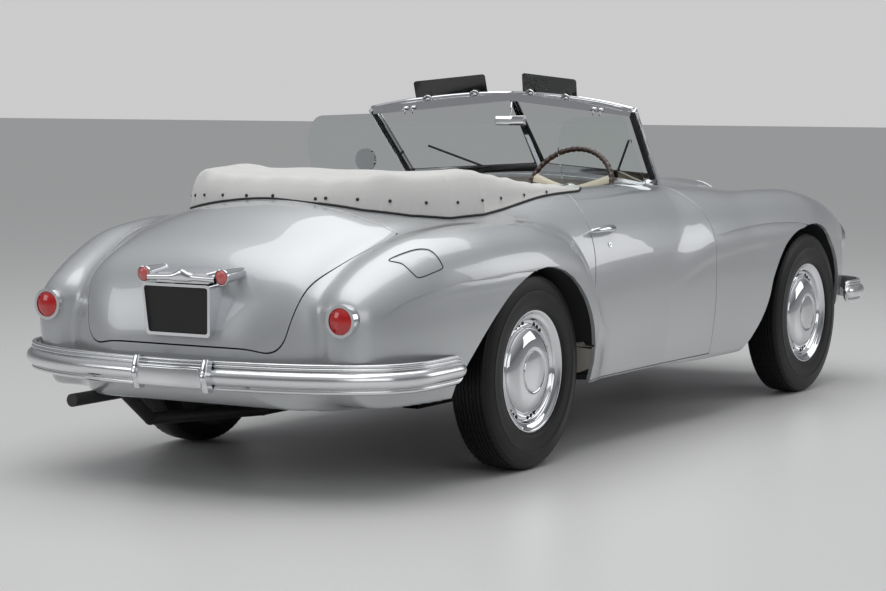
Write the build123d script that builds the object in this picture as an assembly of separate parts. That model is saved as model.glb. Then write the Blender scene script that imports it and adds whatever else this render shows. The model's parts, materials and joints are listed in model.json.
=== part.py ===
"""Two-door roadster convertible of the late 1940s, right-hand drive, top folded.

Units are millimetres.  +X is forward, +Y is the car's left, +Z is up and z = 0 is the road.
Every piece is modelled about the middle of the wheelbase; `save` moves it along X so
that the origin ends up under the middle of the car's overall length.
"""

import os
from collections import namedtuple
from math import asin, cos, hypot, radians, sin

from build123d import *
from build123d.topology import SkipClean

# ---- driving dimensions -------------------------------------------------------------------
WHEELBASE = 2700.0
FRONT_TRACK = 1455.0
REAR_TRACK = 1480.0
FRONT_OVERHANG = 920.0          # front axle to the front bumper's face
REAR_OVERHANG = 1250.0          # rear axle to the rear bumper's face
TYRE_RADIUS = 375.0
TYRE_WIDTH = 165.0
BEAD_RADIUS = 222.0             # where tyre and rim meet
HALF_WIDTH = 861.0              # widest point of the doors
SILL_HEIGHT = 280.0
BELT_HEIGHT = 1027.0            # door tops
COWL_HEIGHT = 1052.0
BELT_HALF = 620.0               # half the width at the door tops

SKIN = 34.0                     # body panels with their inner frames
LID_SKIN = 25.0                 # bonnet and boot lid
DOOR_WALL = 66.0                # whole thickness of a door at its waist
SEAM = 6.0                      # gap round doors, lids and flap
LOCK_ROOM = 445.0               # radius kept free round a steered wheel

# ---- places worked out from them ----------------------------------------------------------
FRONT_AXLE = WHEELBASE / 2
REAR_AXLE = -WHEELBASE / 2
NOSE = FRONT_AXLE + FRONT_OVERHANG
TAIL = REAR_AXLE - REAR_OVERHANG
FRAME_SHIFT = -(NOSE + TAIL) / 2
AXLE_HEIGHT = TYRE_RADIUS
FRONT_WHEEL_Y = FRONT_TRACK / 2
REAR_WHEEL_Y = REAR_TRACK / 2
SEAT_GAP = 0.3                          # between curved faces that would touch

DOOR_FRONT = 225.0                      # middle of the seam in front of the door
DOOR_REAR_TOP = -738.0
DOOR_REAR_WAIST = -862.0
DOOR_REAR_LOW = -930.0
DOOR_BOTTOM = SILL_HEIGHT + 40.0
DOOR_HINGE_Y = HALF_WIDTH + 2.0
DOOR_CORNER = 40.0                      # rounding of the door's lower rear corner
DOOR_OPEN_TOP = 1300.0
DOOR_REAR_EDGE = ((DOOR_REAR_LOW, HALF_WIDTH - 20, DOOR_BOTTOM + DOOR_CORNER),
                  (DOOR_REAR_WAIST, HALF_WIDTH - 3, 640.0),
                  (DOOR_REAR_TOP, BELT_HALF + 15, 1010.0))

FLOOR_BOTTOM = SILL_HEIGHT
FLOOR_TOP = FLOOR_BOTTOM + 12
RAIL_Y = 365.0
RAIL_WIDTH = 70.0
RAIL_BOTTOM = 220.0
BULKHEAD = 560.0                        # between cabin and engine bay
CABIN_REAR = -1250.0                    # where the folded top begins
KICK_UP = REAR_AXLE + 290.0             # the floor steps up over the rear axle
AXLE_ROOF = 530.0                       # underside of the body above the rear axle

BONNET_REAR = 520.0
BONNET_FRONT = FRONT_AXLE + 580.0
BONNET_REAR_HALF = 440.0
BONNET_FRONT_HALF = 205.0

KINGPIN_Y = FRONT_WHEEL_Y - 127.5
LAMP_Y = 600.0                          # headlamps
LAMP_Z = 680.0
LAMP_RADIUS = 98.0
TAIL_LAMP_Y = 644.0
TAIL_LAMP_Z = 644.0
TAIL_LAMP_RADIUS = 58.0

OVERRUN = 20.0                          # how far half shapes reach past the centre plane
HOLLOW_FOOT = 100.0
FLOOR_HALF = 700.0
FLOOR_WAIST = -880.0                    # the floor narrows behind this, between the rear wheels
REAR_FLOOR_HALF = 600.0
TUNNEL_HALF = 110.0
TUNNEL_TOP = 420.0
FIREWALL = BULKHEAD - 60
CABIN_STEP = KICK_UP + 25
STEP_TOP = 548.0
COWL_EDGE = 60.0
DOOR_INNER = 560.0                      # the doors' inner face at the belt
BODY_SPLIT = DOOR_FRONT - 300           # sills and rear body behind, nose and cowl in front

BAY_LEDGE = 18.0                        # ledge under the bonnet's edge
BONNET_CORNER = 45.0
AIR_INLET_HALF = 105.0
AIR_INLET_LOW = 455.0
AIR_INLET_TOP = 670.0
BOOT_TOP = REAR_AXLE - 552              # hinge line of the boot lid
BOOT_PLANE = Plane(origin=(REAR_AXLE - 850, 0, 800), x_dir=(0, 1, 0), z_dir=(-0.72, 0, 0.69))
BOOT_HALF = 505.0
BOOT_LENGTH = 750.0
BOOT_CORNER = 150.0
BOOT_FLOOR = 430.0
BOOT_FRONT = REAR_AXLE - 310
LAMP_BACK = FRONT_AXLE + 640
TAIL_LAMP_FACE = REAR_AXLE - 1010

HINGE_RADIUS = 7.0
HINGE_ROOM = 12.0
DOOR_HINGES = (480.0, 636.0)            # heights of the lower barrels
BONNET_HINGE_Z = COWL_HEIGHT - 14
BOOT_HINGE_Z = 1026.0
LID_HINGE_Y = 50.0                      # the lids hinge near the crown, above the surface

SPINDLE_RADIUS = 18.0
SPINDLE_BORE = 18.08
RUNNING_FIT = 0.08
KINGPIN_RADIUS = 17.0
KINGPIN_LOW = 275.0
KINGPIN_HIGH = 466.0
DRUM_RADIUS = 140.0
AXLE_TUBE = 38.0
DIFFERENTIAL = 112.0
RAIL_REAR = REAR_AXLE - 950
RAIL_FRONT = FRONT_AXLE + 680
CROSSMEMBERS = (REAR_AXLE - 800, REAR_AXLE + 420, 0.0, FRONT_AXLE - 600, FRONT_AXLE + 560)
IRON_DEPTH = 60.0
TOW_EYE = 15.0
ENGINE_BOTTOM = 330.0
ENGINE_REAR = 650.0
ENGINE_FRONT = FRONT_AXLE + 60
EXHAUST_Y = 215.0
EXHAUST_Z = 194.0
EXHAUST_RADIUS = 24.0
EXHAUST_BEND = REAR_AXLE - 300
TAIL_PIPE_Z = 315.0
KNEE_ROOM = 1.0                         # the pipe's knees stand just proud of it

BUMPER_BOTTOM = 388.0
BUMPER_TOP = BUMPER_BOTTOM + 105
BUMPER_HALF = 864.0
BLADE_DEPTH = 20.0                      # broad rib's height above the blade's path
BLADE_BACK = 7.0
REAR_BUMPER_WRAP = 700.0
FRONT_BUMPER_WRAP = 560.0

GLASS_Y = 600.0
GLASS_SEAT = 22.0                       # how deep a side window stands in its door
VISOR_LOW = 20.0                        # above the middle of the header
VISOR_HIGH = 110.0
VISOR_LEAN = 12.0
MIRROR_X = -75.0
WIPERS = (((DOOR_FRONT + 15, 300, 1072), (DOOR_FRONT - 82, 545, 1168)),      # pivot, blade's tip
          ((DOOR_FRONT + 2, -372, 1066), (DOOR_FRONT - 88, -470, 1205)))
COLUMN_RAKE = 27.0
STEERING_RADIUS = 198.0
DASH_REAR = 70.0
COVER_REAR = BOOT_TOP + 16
COVER_FRONT = CABIN_REAR + 30
COVER_HALF = 588.0
COVER_TIP = DOOR_REAR_TOP - 10
COVER_TOP = 1118.0
PLATE_Y = -18.0


def save(name, *solids):
    """Write one sub-part, moved from mid-wheelbase to the middle of the overall length."""
    kept = [Pos(FRAME_SHIFT, 0, 0) * solid for shape in solids for solid in shape.solids()]
    part = kept[0] if len(kept) == 1 else Compound(children=kept)
    part.label = name
    export_step(part, os.path.join("parts", name + ".step"))


# ---- small helpers ------------------------------------------------------------------------
def box(x0, x1, y0, y1, z0, z1):
    """A box between two planes on each axis."""
    return Pos((x0 + x1) / 2, (y0 + y1) / 2, (z0 + z1) / 2) * Box(x1 - x0, y1 - y0, z1 - z0)


def rod(start, end, radius):
    """A round bar between two points."""
    start, end = Vector(*start), Vector(*end)
    plane = Plane(origin=start, z_dir=end - start)
    return extrude(plane * Circle(radius), amount=(end - start).length)


def bar(start, end, width, depth, across=(0, 1, 0), round_by=0.0):
    """A bar of rectangular section between two points, `width` along `across`."""
    start, end = Vector(*start), Vector(*end)
    plane = Plane(origin=start, x_dir=Vector(*across), z_dir=end - start)
    profile = Rectangle(width, depth)
    if round_by:
        profile = RectangleRounded(width, depth, round_by)
    return extrude(plane * profile, amount=(end - start).length)


def mirrored(shape):
    """The same shape on the other side of the car."""
    return mirror(shape, about=Plane.XZ)


def pair(shape):
    """A shape and its mirror image, as two solids."""
    return [shape, mirrored(shape)]


def side_prism(points_wire, y0, y1):
    """A side-view outline (x, z) drawn out between two distances from the centre plane."""
    face = Face(points_wire)
    return Solid.extrude(face, Vector(0, y1 - y0, 0)).moved(Location((0, y0, 0)))


def side_wire(*edges):
    """Edges of a side view; each is a list of 2 points for a line or 3 for an arc."""
    made = []
    for points in edges:
        spots = [(x, 0, z) for x, z in points]
        made.append(Edge.make_three_point_arc(*spots) if len(spots) == 3 else Edge.make_line(*spots))
    return Wire(made)


def largest(shape):
    """The biggest solid of a cut, without slivers."""
    return shape.solids().sort_by(SortBy.VOLUME)[-1]


def ring(outer, inner, x0, x1, y, z):
    """A ring about an axis along X."""
    tube = Cylinder(outer, x1 - x0) - Cylinder(inner, x1 - x0)
    return Pos((x0 + x1) / 2, y, z) * Rot(0, 90, 0) * tube


def disc_x(radius, x0, x1, y, z):
    """A round plug about an axis along X."""
    return Pos((x0 + x1) / 2, y, z) * Rot(0, 90, 0) * Cylinder(radius, x1 - x0)


# ---- body form ----------------------------------------------------------------------------
# One row for each cross-section of the hull, from nose to tail.  Each side of a section is
# two arcs: belt - shoulder - flank and flank - waist - sill; one arc over the crown joins them.
HullRow = namedtuple("HullRow", "x crown belt_y belt_z shoulder_y shoulder_z flank_y flank_z "
                                "waist_y waist_z sill_y sill_z")
HULL = [
    HullRow(FRONT_AXLE + 690, 765, 120, 752, 165, 690, 178, 600, 175, 500, 150, 400),
    HullRow(FRONT_AXLE + 550, 872, 200, 852, 300, 770, 340, 660, 350, 500, 330, 350),
    HullRow(FRONT_AXLE + 150, 958, 320, 934, 450, 850, 500, 700, 510, 500, 490, 290),
    HullRow(FRONT_AXLE - 350, 1004, 420, 975, 580, 900, 640, 730, 650, 500, 640, 285),
    HullRow(FRONT_AXLE - 800, COWL_HEIGHT - 18, 520, 1000, 720, 908, 810, 700, 815, 500, 790,
            SILL_HEIGHT),
    HullRow(DOOR_FRONT - 25, COWL_HEIGHT, BELT_HALF, 1003, 780, 889, HALF_WIDTH - 3, 690,
            HALF_WIDTH - 2, 500, 815, SILL_HEIGHT),
    HullRow(-280, COWL_HEIGHT + 6, BELT_HALF, BELT_HEIGHT, 778, 906, HALF_WIDTH, 690,
            HALF_WIDTH, 500, 818, SILL_HEIGHT),
    HullRow(-800, COWL_HEIGHT + 6, BELT_HALF, BELT_HEIGHT - 2, 755, 915, HALF_WIDTH - 6, 680,
            HALF_WIDTH - 8, 500, 815, SILL_HEIGHT + 4),
    HullRow(REAR_AXLE, COWL_HEIGHT, 590, 985, 670, 912, 720, 760, 725, 560, 715, 330),
    HullRow(REAR_AXLE - 550, 1024, 460, 950, 590, 880, 660, 740, 670, 560, 660, 345),
    HullRow(REAR_AXLE - 850, 930, 380, 890, 520, 815, 590, 690, 600, 540, 590, 350),
    HullRow(REAR_AXLE - 1050, 818, 330, 790, 460, 735, 520, 640, 530, 520, 510, 375),
    HullRow(REAR_AXLE - 1125, 640, 240, 632, 330, 600, 370, 550, 370, 490, 330, 430),
]

# One row for each cross-section of a wing, outside in: inner edge of the crown, crown,
# outer side, lower edge.  The inner side is a straight wall hidden in the hull.
WingRow = namedtuple("WingRow", "x inner_y inner_z crown_y crown_z outer_y outer_z waist_y "
                                "waist_z low_y low_z")
FRONT_WING = [
    WingRow(FRONT_AXLE + 748, 550, 670, 600, 712, 655, 640, 655, 560, 640, 470),
    WingRow(FRONT_AXLE + 690, 510, 715, 602, 790, 705, 670, 708, 540, 690, 395),
    WingRow(FRONT_AXLE + 550, 480, 790, 622, 856, 748, 690, 758, 540, 735, 365),
    WingRow(FRONT_AXLE + 300, 470, 850, 648, 916, 802, 710, 812, 550, 785, 360),
    WingRow(FRONT_AXLE, 460, 880, 665, 950, 838, 720, 846, 560, 815, 340),
    WingRow(FRONT_AXLE - 400, 470, 890, 672, 957, 855, 720, 858, 540, 826, 300),
    WingRow(FRONT_AXLE - 800, 480, 880, 672, 955, HALF_WIDTH - 2, 710, HALF_WIDTH, 520, 822,
            SILL_HEIGHT),
    WingRow(DOOR_FRONT - 25, 480, 860, 660, 935, HALF_WIDTH - 8, 690, HALF_WIDTH - 8, 520, 812,
            SILL_HEIGHT + 6),
    WingRow(-150, 480, 700, 640, 790, 800, 600, 805, 500, 780, SILL_HEIGHT + 20),
]
REAR_WING = [
    WingRow(-640, 480, 700, 640, 780, 800, 610, 810, 500, 790, SILL_HEIGHT + 20),
    WingRow(-820, 500, 780, 740, 845, HALF_WIDTH, 660, HALF_WIDTH + 2, 500, 826, SILL_HEIGHT + 4),
    WingRow(REAR_AXLE + 250, 500, 840, 750, 885, HALF_WIDTH + 7, 690, HALF_WIDTH + 8, 500, 835,
            SILL_HEIGHT + 14),
    WingRow(REAR_AXLE, 500, 860, 750, 920, HALF_WIDTH + 9, 700, HALF_WIDTH + 9, 520, 838, 330),
    WingRow(REAR_AXLE - 300, 500, 860, 740, 922, HALF_WIDTH + 4, 700, HALF_WIDTH + 2, 540, 830,
            350),
    WingRow(REAR_AXLE - 600, 490, 830, 712, 900, 832, 690, 832, 550, 795, 370),
    WingRow(REAR_AXLE - 850, 480, 770, 690, 815, 788, 655, 786, 540, 750, 385),
    WingRow(REAR_AXLE - 990, 500, 700, 664, 745, 738, 645, 736, 540, 700, 410),
    WingRow(REAR_AXLE - 1050, 540, 670, 648, 712, 706, 645, 706, 580, 680, 500),
]


def half_points(row, inset=0.0):
    """Belt, shoulder, flank, waist and sill of one hull section, set in by a wall."""
    slant = 0.75 * inset
    return [
        (row.x, row.belt_y - slant, row.belt_z - inset),
        (row.x, row.shoulder_y - slant, row.shoulder_z - slant),
        (row.x, row.flank_y - inset, row.flank_z - slant / 2),
        (row.x, row.waist_y - inset, row.waist_z),
        (row.x, row.sill_y - inset, row.sill_z),
    ]


def hull_section(row):
    """Closed outline of the hull's left half at one station."""
    belt, shoulder, flank, waist, sill = half_points(row)
    rise = row.crown - row.belt_z
    crown_radius = (row.belt_y ** 2 + rise ** 2) / (2 * rise)
    half_turn = asin(row.belt_y / crown_radius) / 2
    crown = (row.x, 0, row.crown)
    midway = (row.x, crown_radius * sin(half_turn),
              row.crown - crown_radius * (1 - cos(half_turn)))
    keel = (row.x, 0, row.sill_z)
    arc = Edge.make_three_point_arc
    return Wire([
        arc(crown, midway, belt),
        arc(belt, shoulder, flank),
        arc(flank, waist, sill),
        Edge.make_line(sill, keel),
        Edge.make_line(keel, crown),
    ])


def wing_section(row):
    """Closed outline of the left wing at one station."""
    arc = Edge.make_three_point_arc
    inner = (row.x, row.inner_y, row.inner_z)
    outer = (row.x, row.outer_y, row.outer_z)
    low = (row.x, row.low_y, row.low_z)
    foot = (row.x, row.inner_y, row.low_z)
    return Wire([
        arc(inner, (row.x, row.crown_y, row.crown_z), outer),
        arc(outer, (row.x, row.waist_y, row.waist_z), low),
        Edge.make_line(low, foot),
        Edge.make_line(foot, inner),
    ])


def half_hull():
    return Solid.make_loft([hull_section(row) for row in HULL], True)


def wing(rows):
    return Solid.make_loft([wing_section(row) for row in rows], True)


def half_hollow(inset):
    """What is inside a wall of this thickness: flat-sided, left half, open below."""
    outlines = []
    for row in HULL:
        side = half_points(row, inset)
        side[-1] = (row.x, side[-1][1], HOLLOW_FOOT)
        points = [(row.x, -OVERRUN, row.crown - inset), *side, (row.x, -OVERRUN, HOLLOW_FOOT)]
        outlines.append(Wire.make_polygon(points, close=True))
    return Solid.make_loft(outlines, True)


def front_arch():
    """Opening of the front wheel arch, with the sweep down to the sill behind the wheel."""
    x, top = FRONT_AXLE, AXLE_HEIGHT + 407
    outline = side_wire(
        [(x + 470, 150), (x + 300, top - 82), (x - 110, top)],
        [(x - 110, top), (x - 390, top - 100), (x - 500, 560)],
        [(x - 500, 560), (x - 600, 380), (x - 830, SILL_HEIGHT - 20)],
        [(x - 830, SILL_HEIGHT - 20), (x - 830, 150)],
        [(x - 830, 150), (x + 470, 150)],
    )
    return side_prism(outline, KINGPIN_Y - 40, 1000)


def rear_arch():
    """Opening of the rear wheel arch, drawn out to a point behind the wheel."""
    x, top = REAR_AXLE, AXLE_HEIGHT + 390
    outline = side_wire(
        [(x + 410, 150), (x + 330, top - 130), (x - 60, top)],
        [(x - 60, top), (x - 330, top - 120), (x - 560, 380)],
        [(x - 560, 380), (x - 560, 150)],
        [(x - 560, 150), (x + 410, 150)],
    )
    return side_prism(outline, REAR_WHEEL_Y - 110, 1000)


def round_well(x, radius, y0, y1):
    """A drum-shaped hollow for one wheel."""
    return Pos(x, (y0 + y1) / 2, AXLE_HEIGHT) * Rot(90, 0, 0) * Cylinder(radius, y1 - y0)


def door_prism(grow=0.0):
    """Space of the left door, `grow` larger all round.

    Its rear edge is turned about the hinge line, so the door swings out past its jamb.
    """
    front = DOOR_FRONT - SEAM / 2 + grow
    low = DOOR_BOTTOM - grow
    reach = [(hypot(DOOR_FRONT - x, DOOR_HINGE_Y - y) + grow, z) for x, y, z in DOOR_REAR_EDGE]
    (low_reach, low_z), waist, (top_reach, top_z) = reach
    corner = low_reach - DOOR_CORNER
    profile = side_wire(
        [(0, low), (corner, low)],
        [(corner, low), (low_reach - DOOR_CORNER / 4, low + DOOR_CORNER / 4), (low_reach, low_z)],
        [(low_reach, low_z), waist, (top_reach, top_z)],
        [(top_reach, top_z), (top_reach, DOOR_OPEN_TOP)],
        [(top_reach, DOOR_OPEN_TOP), (0, DOOR_OPEN_TOP)],
        [(0, DOOR_OPEN_TOP), (0, low)],
    )
    turned = Solid.revolve(Face(profile), 360, Axis.Z)
    turned = turned.moved(Location((DOOR_FRONT, DOOR_HINGE_Y, 0)))
    return turned & box(DOOR_REAR_LOW - 200, front, DOOR_INNER, 1000, low, DOOR_OPEN_TOP)


def bonnet_prism(grow=0.0):
    """Plan outline of the bonnet drawn out upwards."""
    rear, front = BONNET_REAR - grow, BONNET_FRONT + grow
    wide, narrow = BONNET_REAR_HALF + grow, BONNET_FRONT_HALF + grow
    outline = Polygon((rear, -wide), (front, -narrow), (front, narrow), (rear, wide), align=None)
    outline = fillet(outline.vertices(), BONNET_CORNER + grow)
    return extrude(Pos(0, 0, 300) * outline, amount=900)


def boot_prism(grow=0.0):
    """Outline of the boot lid, drawn out square to the slope of the tail."""
    outline = RectangleRounded(2 * (BOOT_HALF + grow), BOOT_LENGTH + 2 * grow, BOOT_CORNER + grow)
    return extrude(BOOT_PLANE * outline, amount=450, both=True)


def left_half(x0, x1, y1, z0, z1):
    """A box from just past the centre plane out to the left."""
    return box(x0, x1, -OVERRUN, y1, z0, z1)


def lamp_pocket():
    return disc_x(LAMP_RADIUS, LAMP_BACK, NOSE, LAMP_Y, LAMP_Z)


def tail_lamp_pocket():
    return disc_x(TAIL_LAMP_RADIUS, TAIL, TAIL_LAMP_FACE, TAIL_LAMP_Y, TAIL_LAMP_Z)


def half_shell():
    """Left half of the whole body as one solid form, with its wings."""
    return half_hull().fuse(wing(FRONT_WING), wing(REAR_WING))


def half_hollows(core):
    """Everything taken out of the left half of the body."""
    door_core = half_hollow(DOOR_WALL)
    bay = core & bonnet_prism(-BAY_LEDGE) & left_half(BULKHEAD, BONNET_FRONT, 500, 150, 1200)
    cabin = door_core & left_half(FLOOR_WAIST, FIREWALL, 900, DOOR_BOTTOM + 12, 1400)
    bench_room = door_core & left_half(CABIN_STEP, FLOOR_WAIST, REAR_FLOOR_HALF - 10, 390, 1400)
    rear_cabin = door_core & left_half(CABIN_REAR, CABIN_STEP, REAR_FLOOR_HALF - 10, STEP_TOP, 1400)
    boot = core & left_half(TAIL, BOOT_FRONT, BOOT_HALF - 35, BOOT_FLOOR, 1010)
    bonnet_slot = (bonnet_prism(SEAM) & left_half(0, NOSE, 500, 500, 1200)) - core
    boot_slot = boot_prism(SEAM) & left_half(TAIL - 50, BOOT_TOP + SEAM, 600, 440, 1200)
    return [
        front_arch(),
        round_well(FRONT_AXLE, LOCK_ROOM, KINGPIN_Y - 190, 950),
        rear_arch(),
        round_well(REAR_AXLE, TYRE_RADIUS + 30, REAR_WHEEL_Y - 110, 845),
        lamp_pocket(),
        tail_lamp_pocket(),
        bay,
        left_half(BULKHEAD, BONNET_FRONT - 60, 284, 150, 600),
        left_half(BONNET_FRONT - 100, NOSE, AIR_INLET_HALF, AIR_INLET_LOW, AIR_INLET_TOP),
        cabin,
        bench_room,
        rear_cabin,
        left_half(FLOOR_WAIST, FIREWALL, FLOOR_HALF - 10, FLOOR_TOP, 400),
        left_half(CABIN_STEP, FLOOR_WAIST, REAR_FLOOR_HALF - 10, FLOOR_TOP, 400),
        left_half(CABIN_REAR, COWL_EDGE, BELT_HALF - 45, 700, 1400),
        left_half(FLOOR_WAIST, BULKHEAD, FLOOR_HALF, 150, FLOOR_TOP),
        left_half(CABIN_STEP, FLOOR_WAIST, REAR_FLOOR_HALF, 150, FLOOR_TOP),
        left_half(KICK_UP, BULKHEAD + 90, TUNNEL_HALF, 150, TUNNEL_TOP),
        left_half(REAR_AXLE - 290, KICK_UP, 700, 150, AXLE_ROOF),
        boot,
        bonnet_slot,
        boot_slot - core,
    ]


def whole(half):
    """A left half joined to its mirror image."""
    return half.fuse(mirrored(half))


def hang(fixed, moving, axis_start, axis_dir, length=22.0):
    """Give two panels a hinge: one barrel on each, end to end on the pin's axis."""
    start, step = Vector(*axis_start), Vector(*axis_dir) * length
    room = Vector(*axis_dir) * 2
    fixed_barrel = rod(start, start + step, HINGE_RADIUS)
    moving_barrel = rod(start + step, start + step * 2, HINGE_RADIUS)
    fixed = fixed.cut(rod(start + step, start + step * 2 + room, HINGE_ROOM)).fuse(fixed_barrel)
    moving = moving.cut(rod(start - room, start + step, HINGE_ROOM)).fuse(moving_barrel)
    return fixed, moving


def body_panels():
    """All outer panels, cut from one form: a dict of node name to solid."""
    shell = half_shell()
    core = half_hollow(SKIN)
    lid_core = half_hollow(LID_SKIN)
    bonnet_space = bonnet_prism() & box(BONNET_REAR - 10, BONNET_FRONT + 10, 0, 500, 700, 1200)
    boot_space = boot_prism() & box(TAIL, BOOT_TOP, 0, 600, 450, 1200)
    tub = shell.cut(*half_hollows(core))
    left_door = tub & door_prism()
    tub = tub.cut(door_prism(SEAM))
    behind = box(TAIL - 100, BODY_SPLIT, -1000, 1000, 0, 1500)
    nose, tail = tub - behind, tub & behind
    bonnet = (shell & bonnet_space) - lid_core
    boot_lid = (shell & boot_space) - lid_core
    for height in DOOR_HINGES:
        nose, left_door = hang(nose, left_door, (DOOR_FRONT, DOOR_HINGE_Y, height), (0, 0, 1))
    nose, bonnet = hang(nose, bonnet, (BONNET_REAR - SEAM / 2, LID_HINGE_Y, BONNET_HINGE_Z), (0, 1, 0))
    tail, boot_lid = hang(tail, boot_lid, (BOOT_TOP + SEAM / 2, LID_HINGE_Y, BOOT_HINGE_Z), (0, 1, 0))
    return {
        "front_body": whole(nose),
        "rear_body": whole(tail),
        "door_left": left_door,
        "door_right": mirrored(left_door),
        "bonnet": whole(bonnet),
        "boot_lid": whole(boot_lid),
    }, whole(shell)


# ---- wheels -------------------------------------------------------------------------------
# Half profiles about the axle: (radius, distance outwards from the tyre's middle).
TYRE_PROFILE = [(222, -60), (238, -74), (310, -82.5), (362, -74), (375, -56),
                (375, 56), (362, 74), (310, 82.5), (238, 74), (222, 60)]
RIM_PROFILE = [(222, 60), (231, 68.5), (231, 72), (212, 72), (206, 40), (172, 34), (165, 40),
               (132, 60), (80, 67), (78, 74), (40, 77), (0, 78), (0, 22), (SPINDLE_BORE, 22),
               (SPINDLE_BORE, -12), (70, -12), (150, 4), (196, 18), (206, -60), (212, -72),
               (231, -72), (231, -68.5), (222, -60)]


def spun(profile, scale=1.0):
    """A profile of (radius, outward) points turned about the Y axis."""
    face = Face(Wire.make_polygon([(r * scale, y, 0) for r, y in profile], close=True))
    return revolve(face, axis=Axis.Y, revolution_arc=360)


def placed_wheel(shape, x, side, y):
    turned = shape if side > 0 else mirrored(shape)
    return Pos(x, side * y, AXLE_HEIGHT) * turned


def wheels():
    tyre = spun(TYRE_PROFILE)
    rim = spun(RIM_PROFILE)
    for end, x, y in (("front", FRONT_AXLE, FRONT_WHEEL_Y), ("rear", REAR_AXLE, REAR_WHEEL_Y)):
        for side, hand in ((1, "left"), (-1, "right")):
            save(f"tyre_{end}_{hand}", placed_wheel(tyre, x, side, y))
            save(f"wheel_{end}_{hand}", placed_wheel(rim, x, side, y))


# ---- underside ----------------------------------------------------------------------------
def chassis_frame(bumpers):
    """Two side rails, crossmembers, bumper irons and a towing eye."""
    frame = []
    for side in (-1, 1):
        low, high = sorted((side * (RAIL_Y - RAIL_WIDTH / 2), side * (RAIL_Y + RAIL_WIDTH / 2)))
        frame.append(box(RAIL_REAR, RAIL_FRONT, low, high, RAIL_BOTTOM, FLOOR_BOTTOM))
        for end, rail_end, bumper_face in ((-1, RAIL_REAR, TAIL), (1, RAIL_FRONT, NOSE)):
            x0, x1 = sorted((rail_end - end * 100, bumper_face))
            frame.append(box(x0, x1, side * RAIL_Y - 20, side * RAIL_Y + 20, FLOOR_BOTTOM,
                             FLOOR_BOTTOM + 30))
            x0, x1 = sorted((bumper_face, bumper_face - end * IRON_DEPTH))
            frame.append(box(x0, x1, side * RAIL_Y - 20, side * RAIL_Y + 20, FLOOR_BOTTOM + 30,
                             BUMPER_TOP - 30))
    inner = RAIL_Y - RAIL_WIDTH / 2
    for x in CROSSMEMBERS:
        frame.append(box(x - 30, x + 30, -inner, inner, RAIL_BOTTOM, RAIL_BOTTOM + 25))
    eye = box(RAIL_FRONT - 60, RAIL_FRONT, RAIL_Y - 6, RAIL_Y + 6, RAIL_BOTTOM - 50, RAIL_BOTTOM)
    hole = Pos(RAIL_FRONT - 30, RAIL_Y, RAIL_BOTTOM - 24) * Rot(90, 0, 0) * Cylinder(TOW_EYE, 40)
    solid = frame[0].fuse(*frame[1:], eye - hole)
    return solid.cut(*bumpers)


def front_suspension():
    """Crossmember with its engine pedestal, and two wishbones a side round the kingpins."""
    x = FRONT_AXLE
    inner = RAIL_Y - RAIL_WIDTH / 2
    beam = box(x - 60, x + 60, -inner, inner, RAIL_BOTTOM + 5, FLOOR_BOTTOM)
    beam = beam.fuse(box(x - 60, x + 60, -120, 120, FLOOR_BOTTOM, ENGINE_BOTTOM))
    pieces = [beam]
    for arm_z, root_y, reach in ((KINGPIN_LOW - 24, RAIL_Y + RAIL_WIDTH / 2, 115),
                                 (KINGPIN_HIGH, KINGPIN_Y - 190, 80)):
        arm = Polygon((x - reach, root_y), (x - reach + 36, root_y), (x, KINGPIN_Y - 55),
                      (x + reach - 36, root_y), (x + reach, root_y), (x + 26, KINGPIN_Y),
                      (x - 26, KINGPIN_Y), align=None)
        arm = extrude(Pos(0, 0, arm_z) * arm, amount=24)
        arm = arm.fuse(Pos(x, KINGPIN_Y, arm_z + 12) * Cylinder(30, 24))
        arm = arm - Pos(x, KINGPIN_Y, arm_z + 12) * Cylinder(KINGPIN_RADIUS + RUNNING_FIT, 24)
        pieces += pair(arm)
    return pieces


def knuckle():
    """Left upright with its kingpin, stub axle and brake drum."""
    x, y, z = FRONT_AXLE, KINGPIN_Y, AXLE_HEIGHT
    pin = rod((x, y, KINGPIN_LOW - 24), (x, y, KINGPIN_HIGH + 24), KINGPIN_RADIUS)
    upright = box(x - 28, x + 28, y - 24, y + 26, KINGPIN_LOW, KINGPIN_HIGH)
    spindle = rod((x, y, z), (x, FRONT_WHEEL_Y + 18, z), SPINDLE_RADIUS)
    drum = rod((x, FRONT_WHEEL_Y - 66, z), (x, FRONT_WHEEL_Y - 20, z), DRUM_RADIUS)
    collar = rod((x, y, z), (x, FRONT_WHEEL_Y - 60, z), 38)
    return pin.fuse(upright, spindle, drum, collar)


def rear_axle():
    x, z = REAR_AXLE, AXLE_HEIGHT
    end = REAR_WHEEL_Y + 18
    pieces = [rod((x, -end, z), (x, end, z), SPINDLE_RADIUS),
              rod((x, -REAR_WHEEL_Y + 60, z), (x, REAR_WHEEL_Y - 60, z), AXLE_TUBE),
              Pos(x, 0, z) * Sphere(DIFFERENTIAL)]
    for side in (-1, 1):
        inside, outside = side * (REAR_WHEEL_Y - 66), side * (REAR_WHEEL_Y - 20)
        pieces.append(rod((x, inside, z), (x, outside, z), DRUM_RADIUS))
        pieces.append(box(x - 45, x + 45, side * RAIL_Y - 35, side * RAIL_Y + 35, FLOOR_BOTTOM, z))
    nose = rod((x, 0, z), (x + 190, 0, z), 55)
    return pieces[0].fuse(*pieces[1:], nose)


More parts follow.
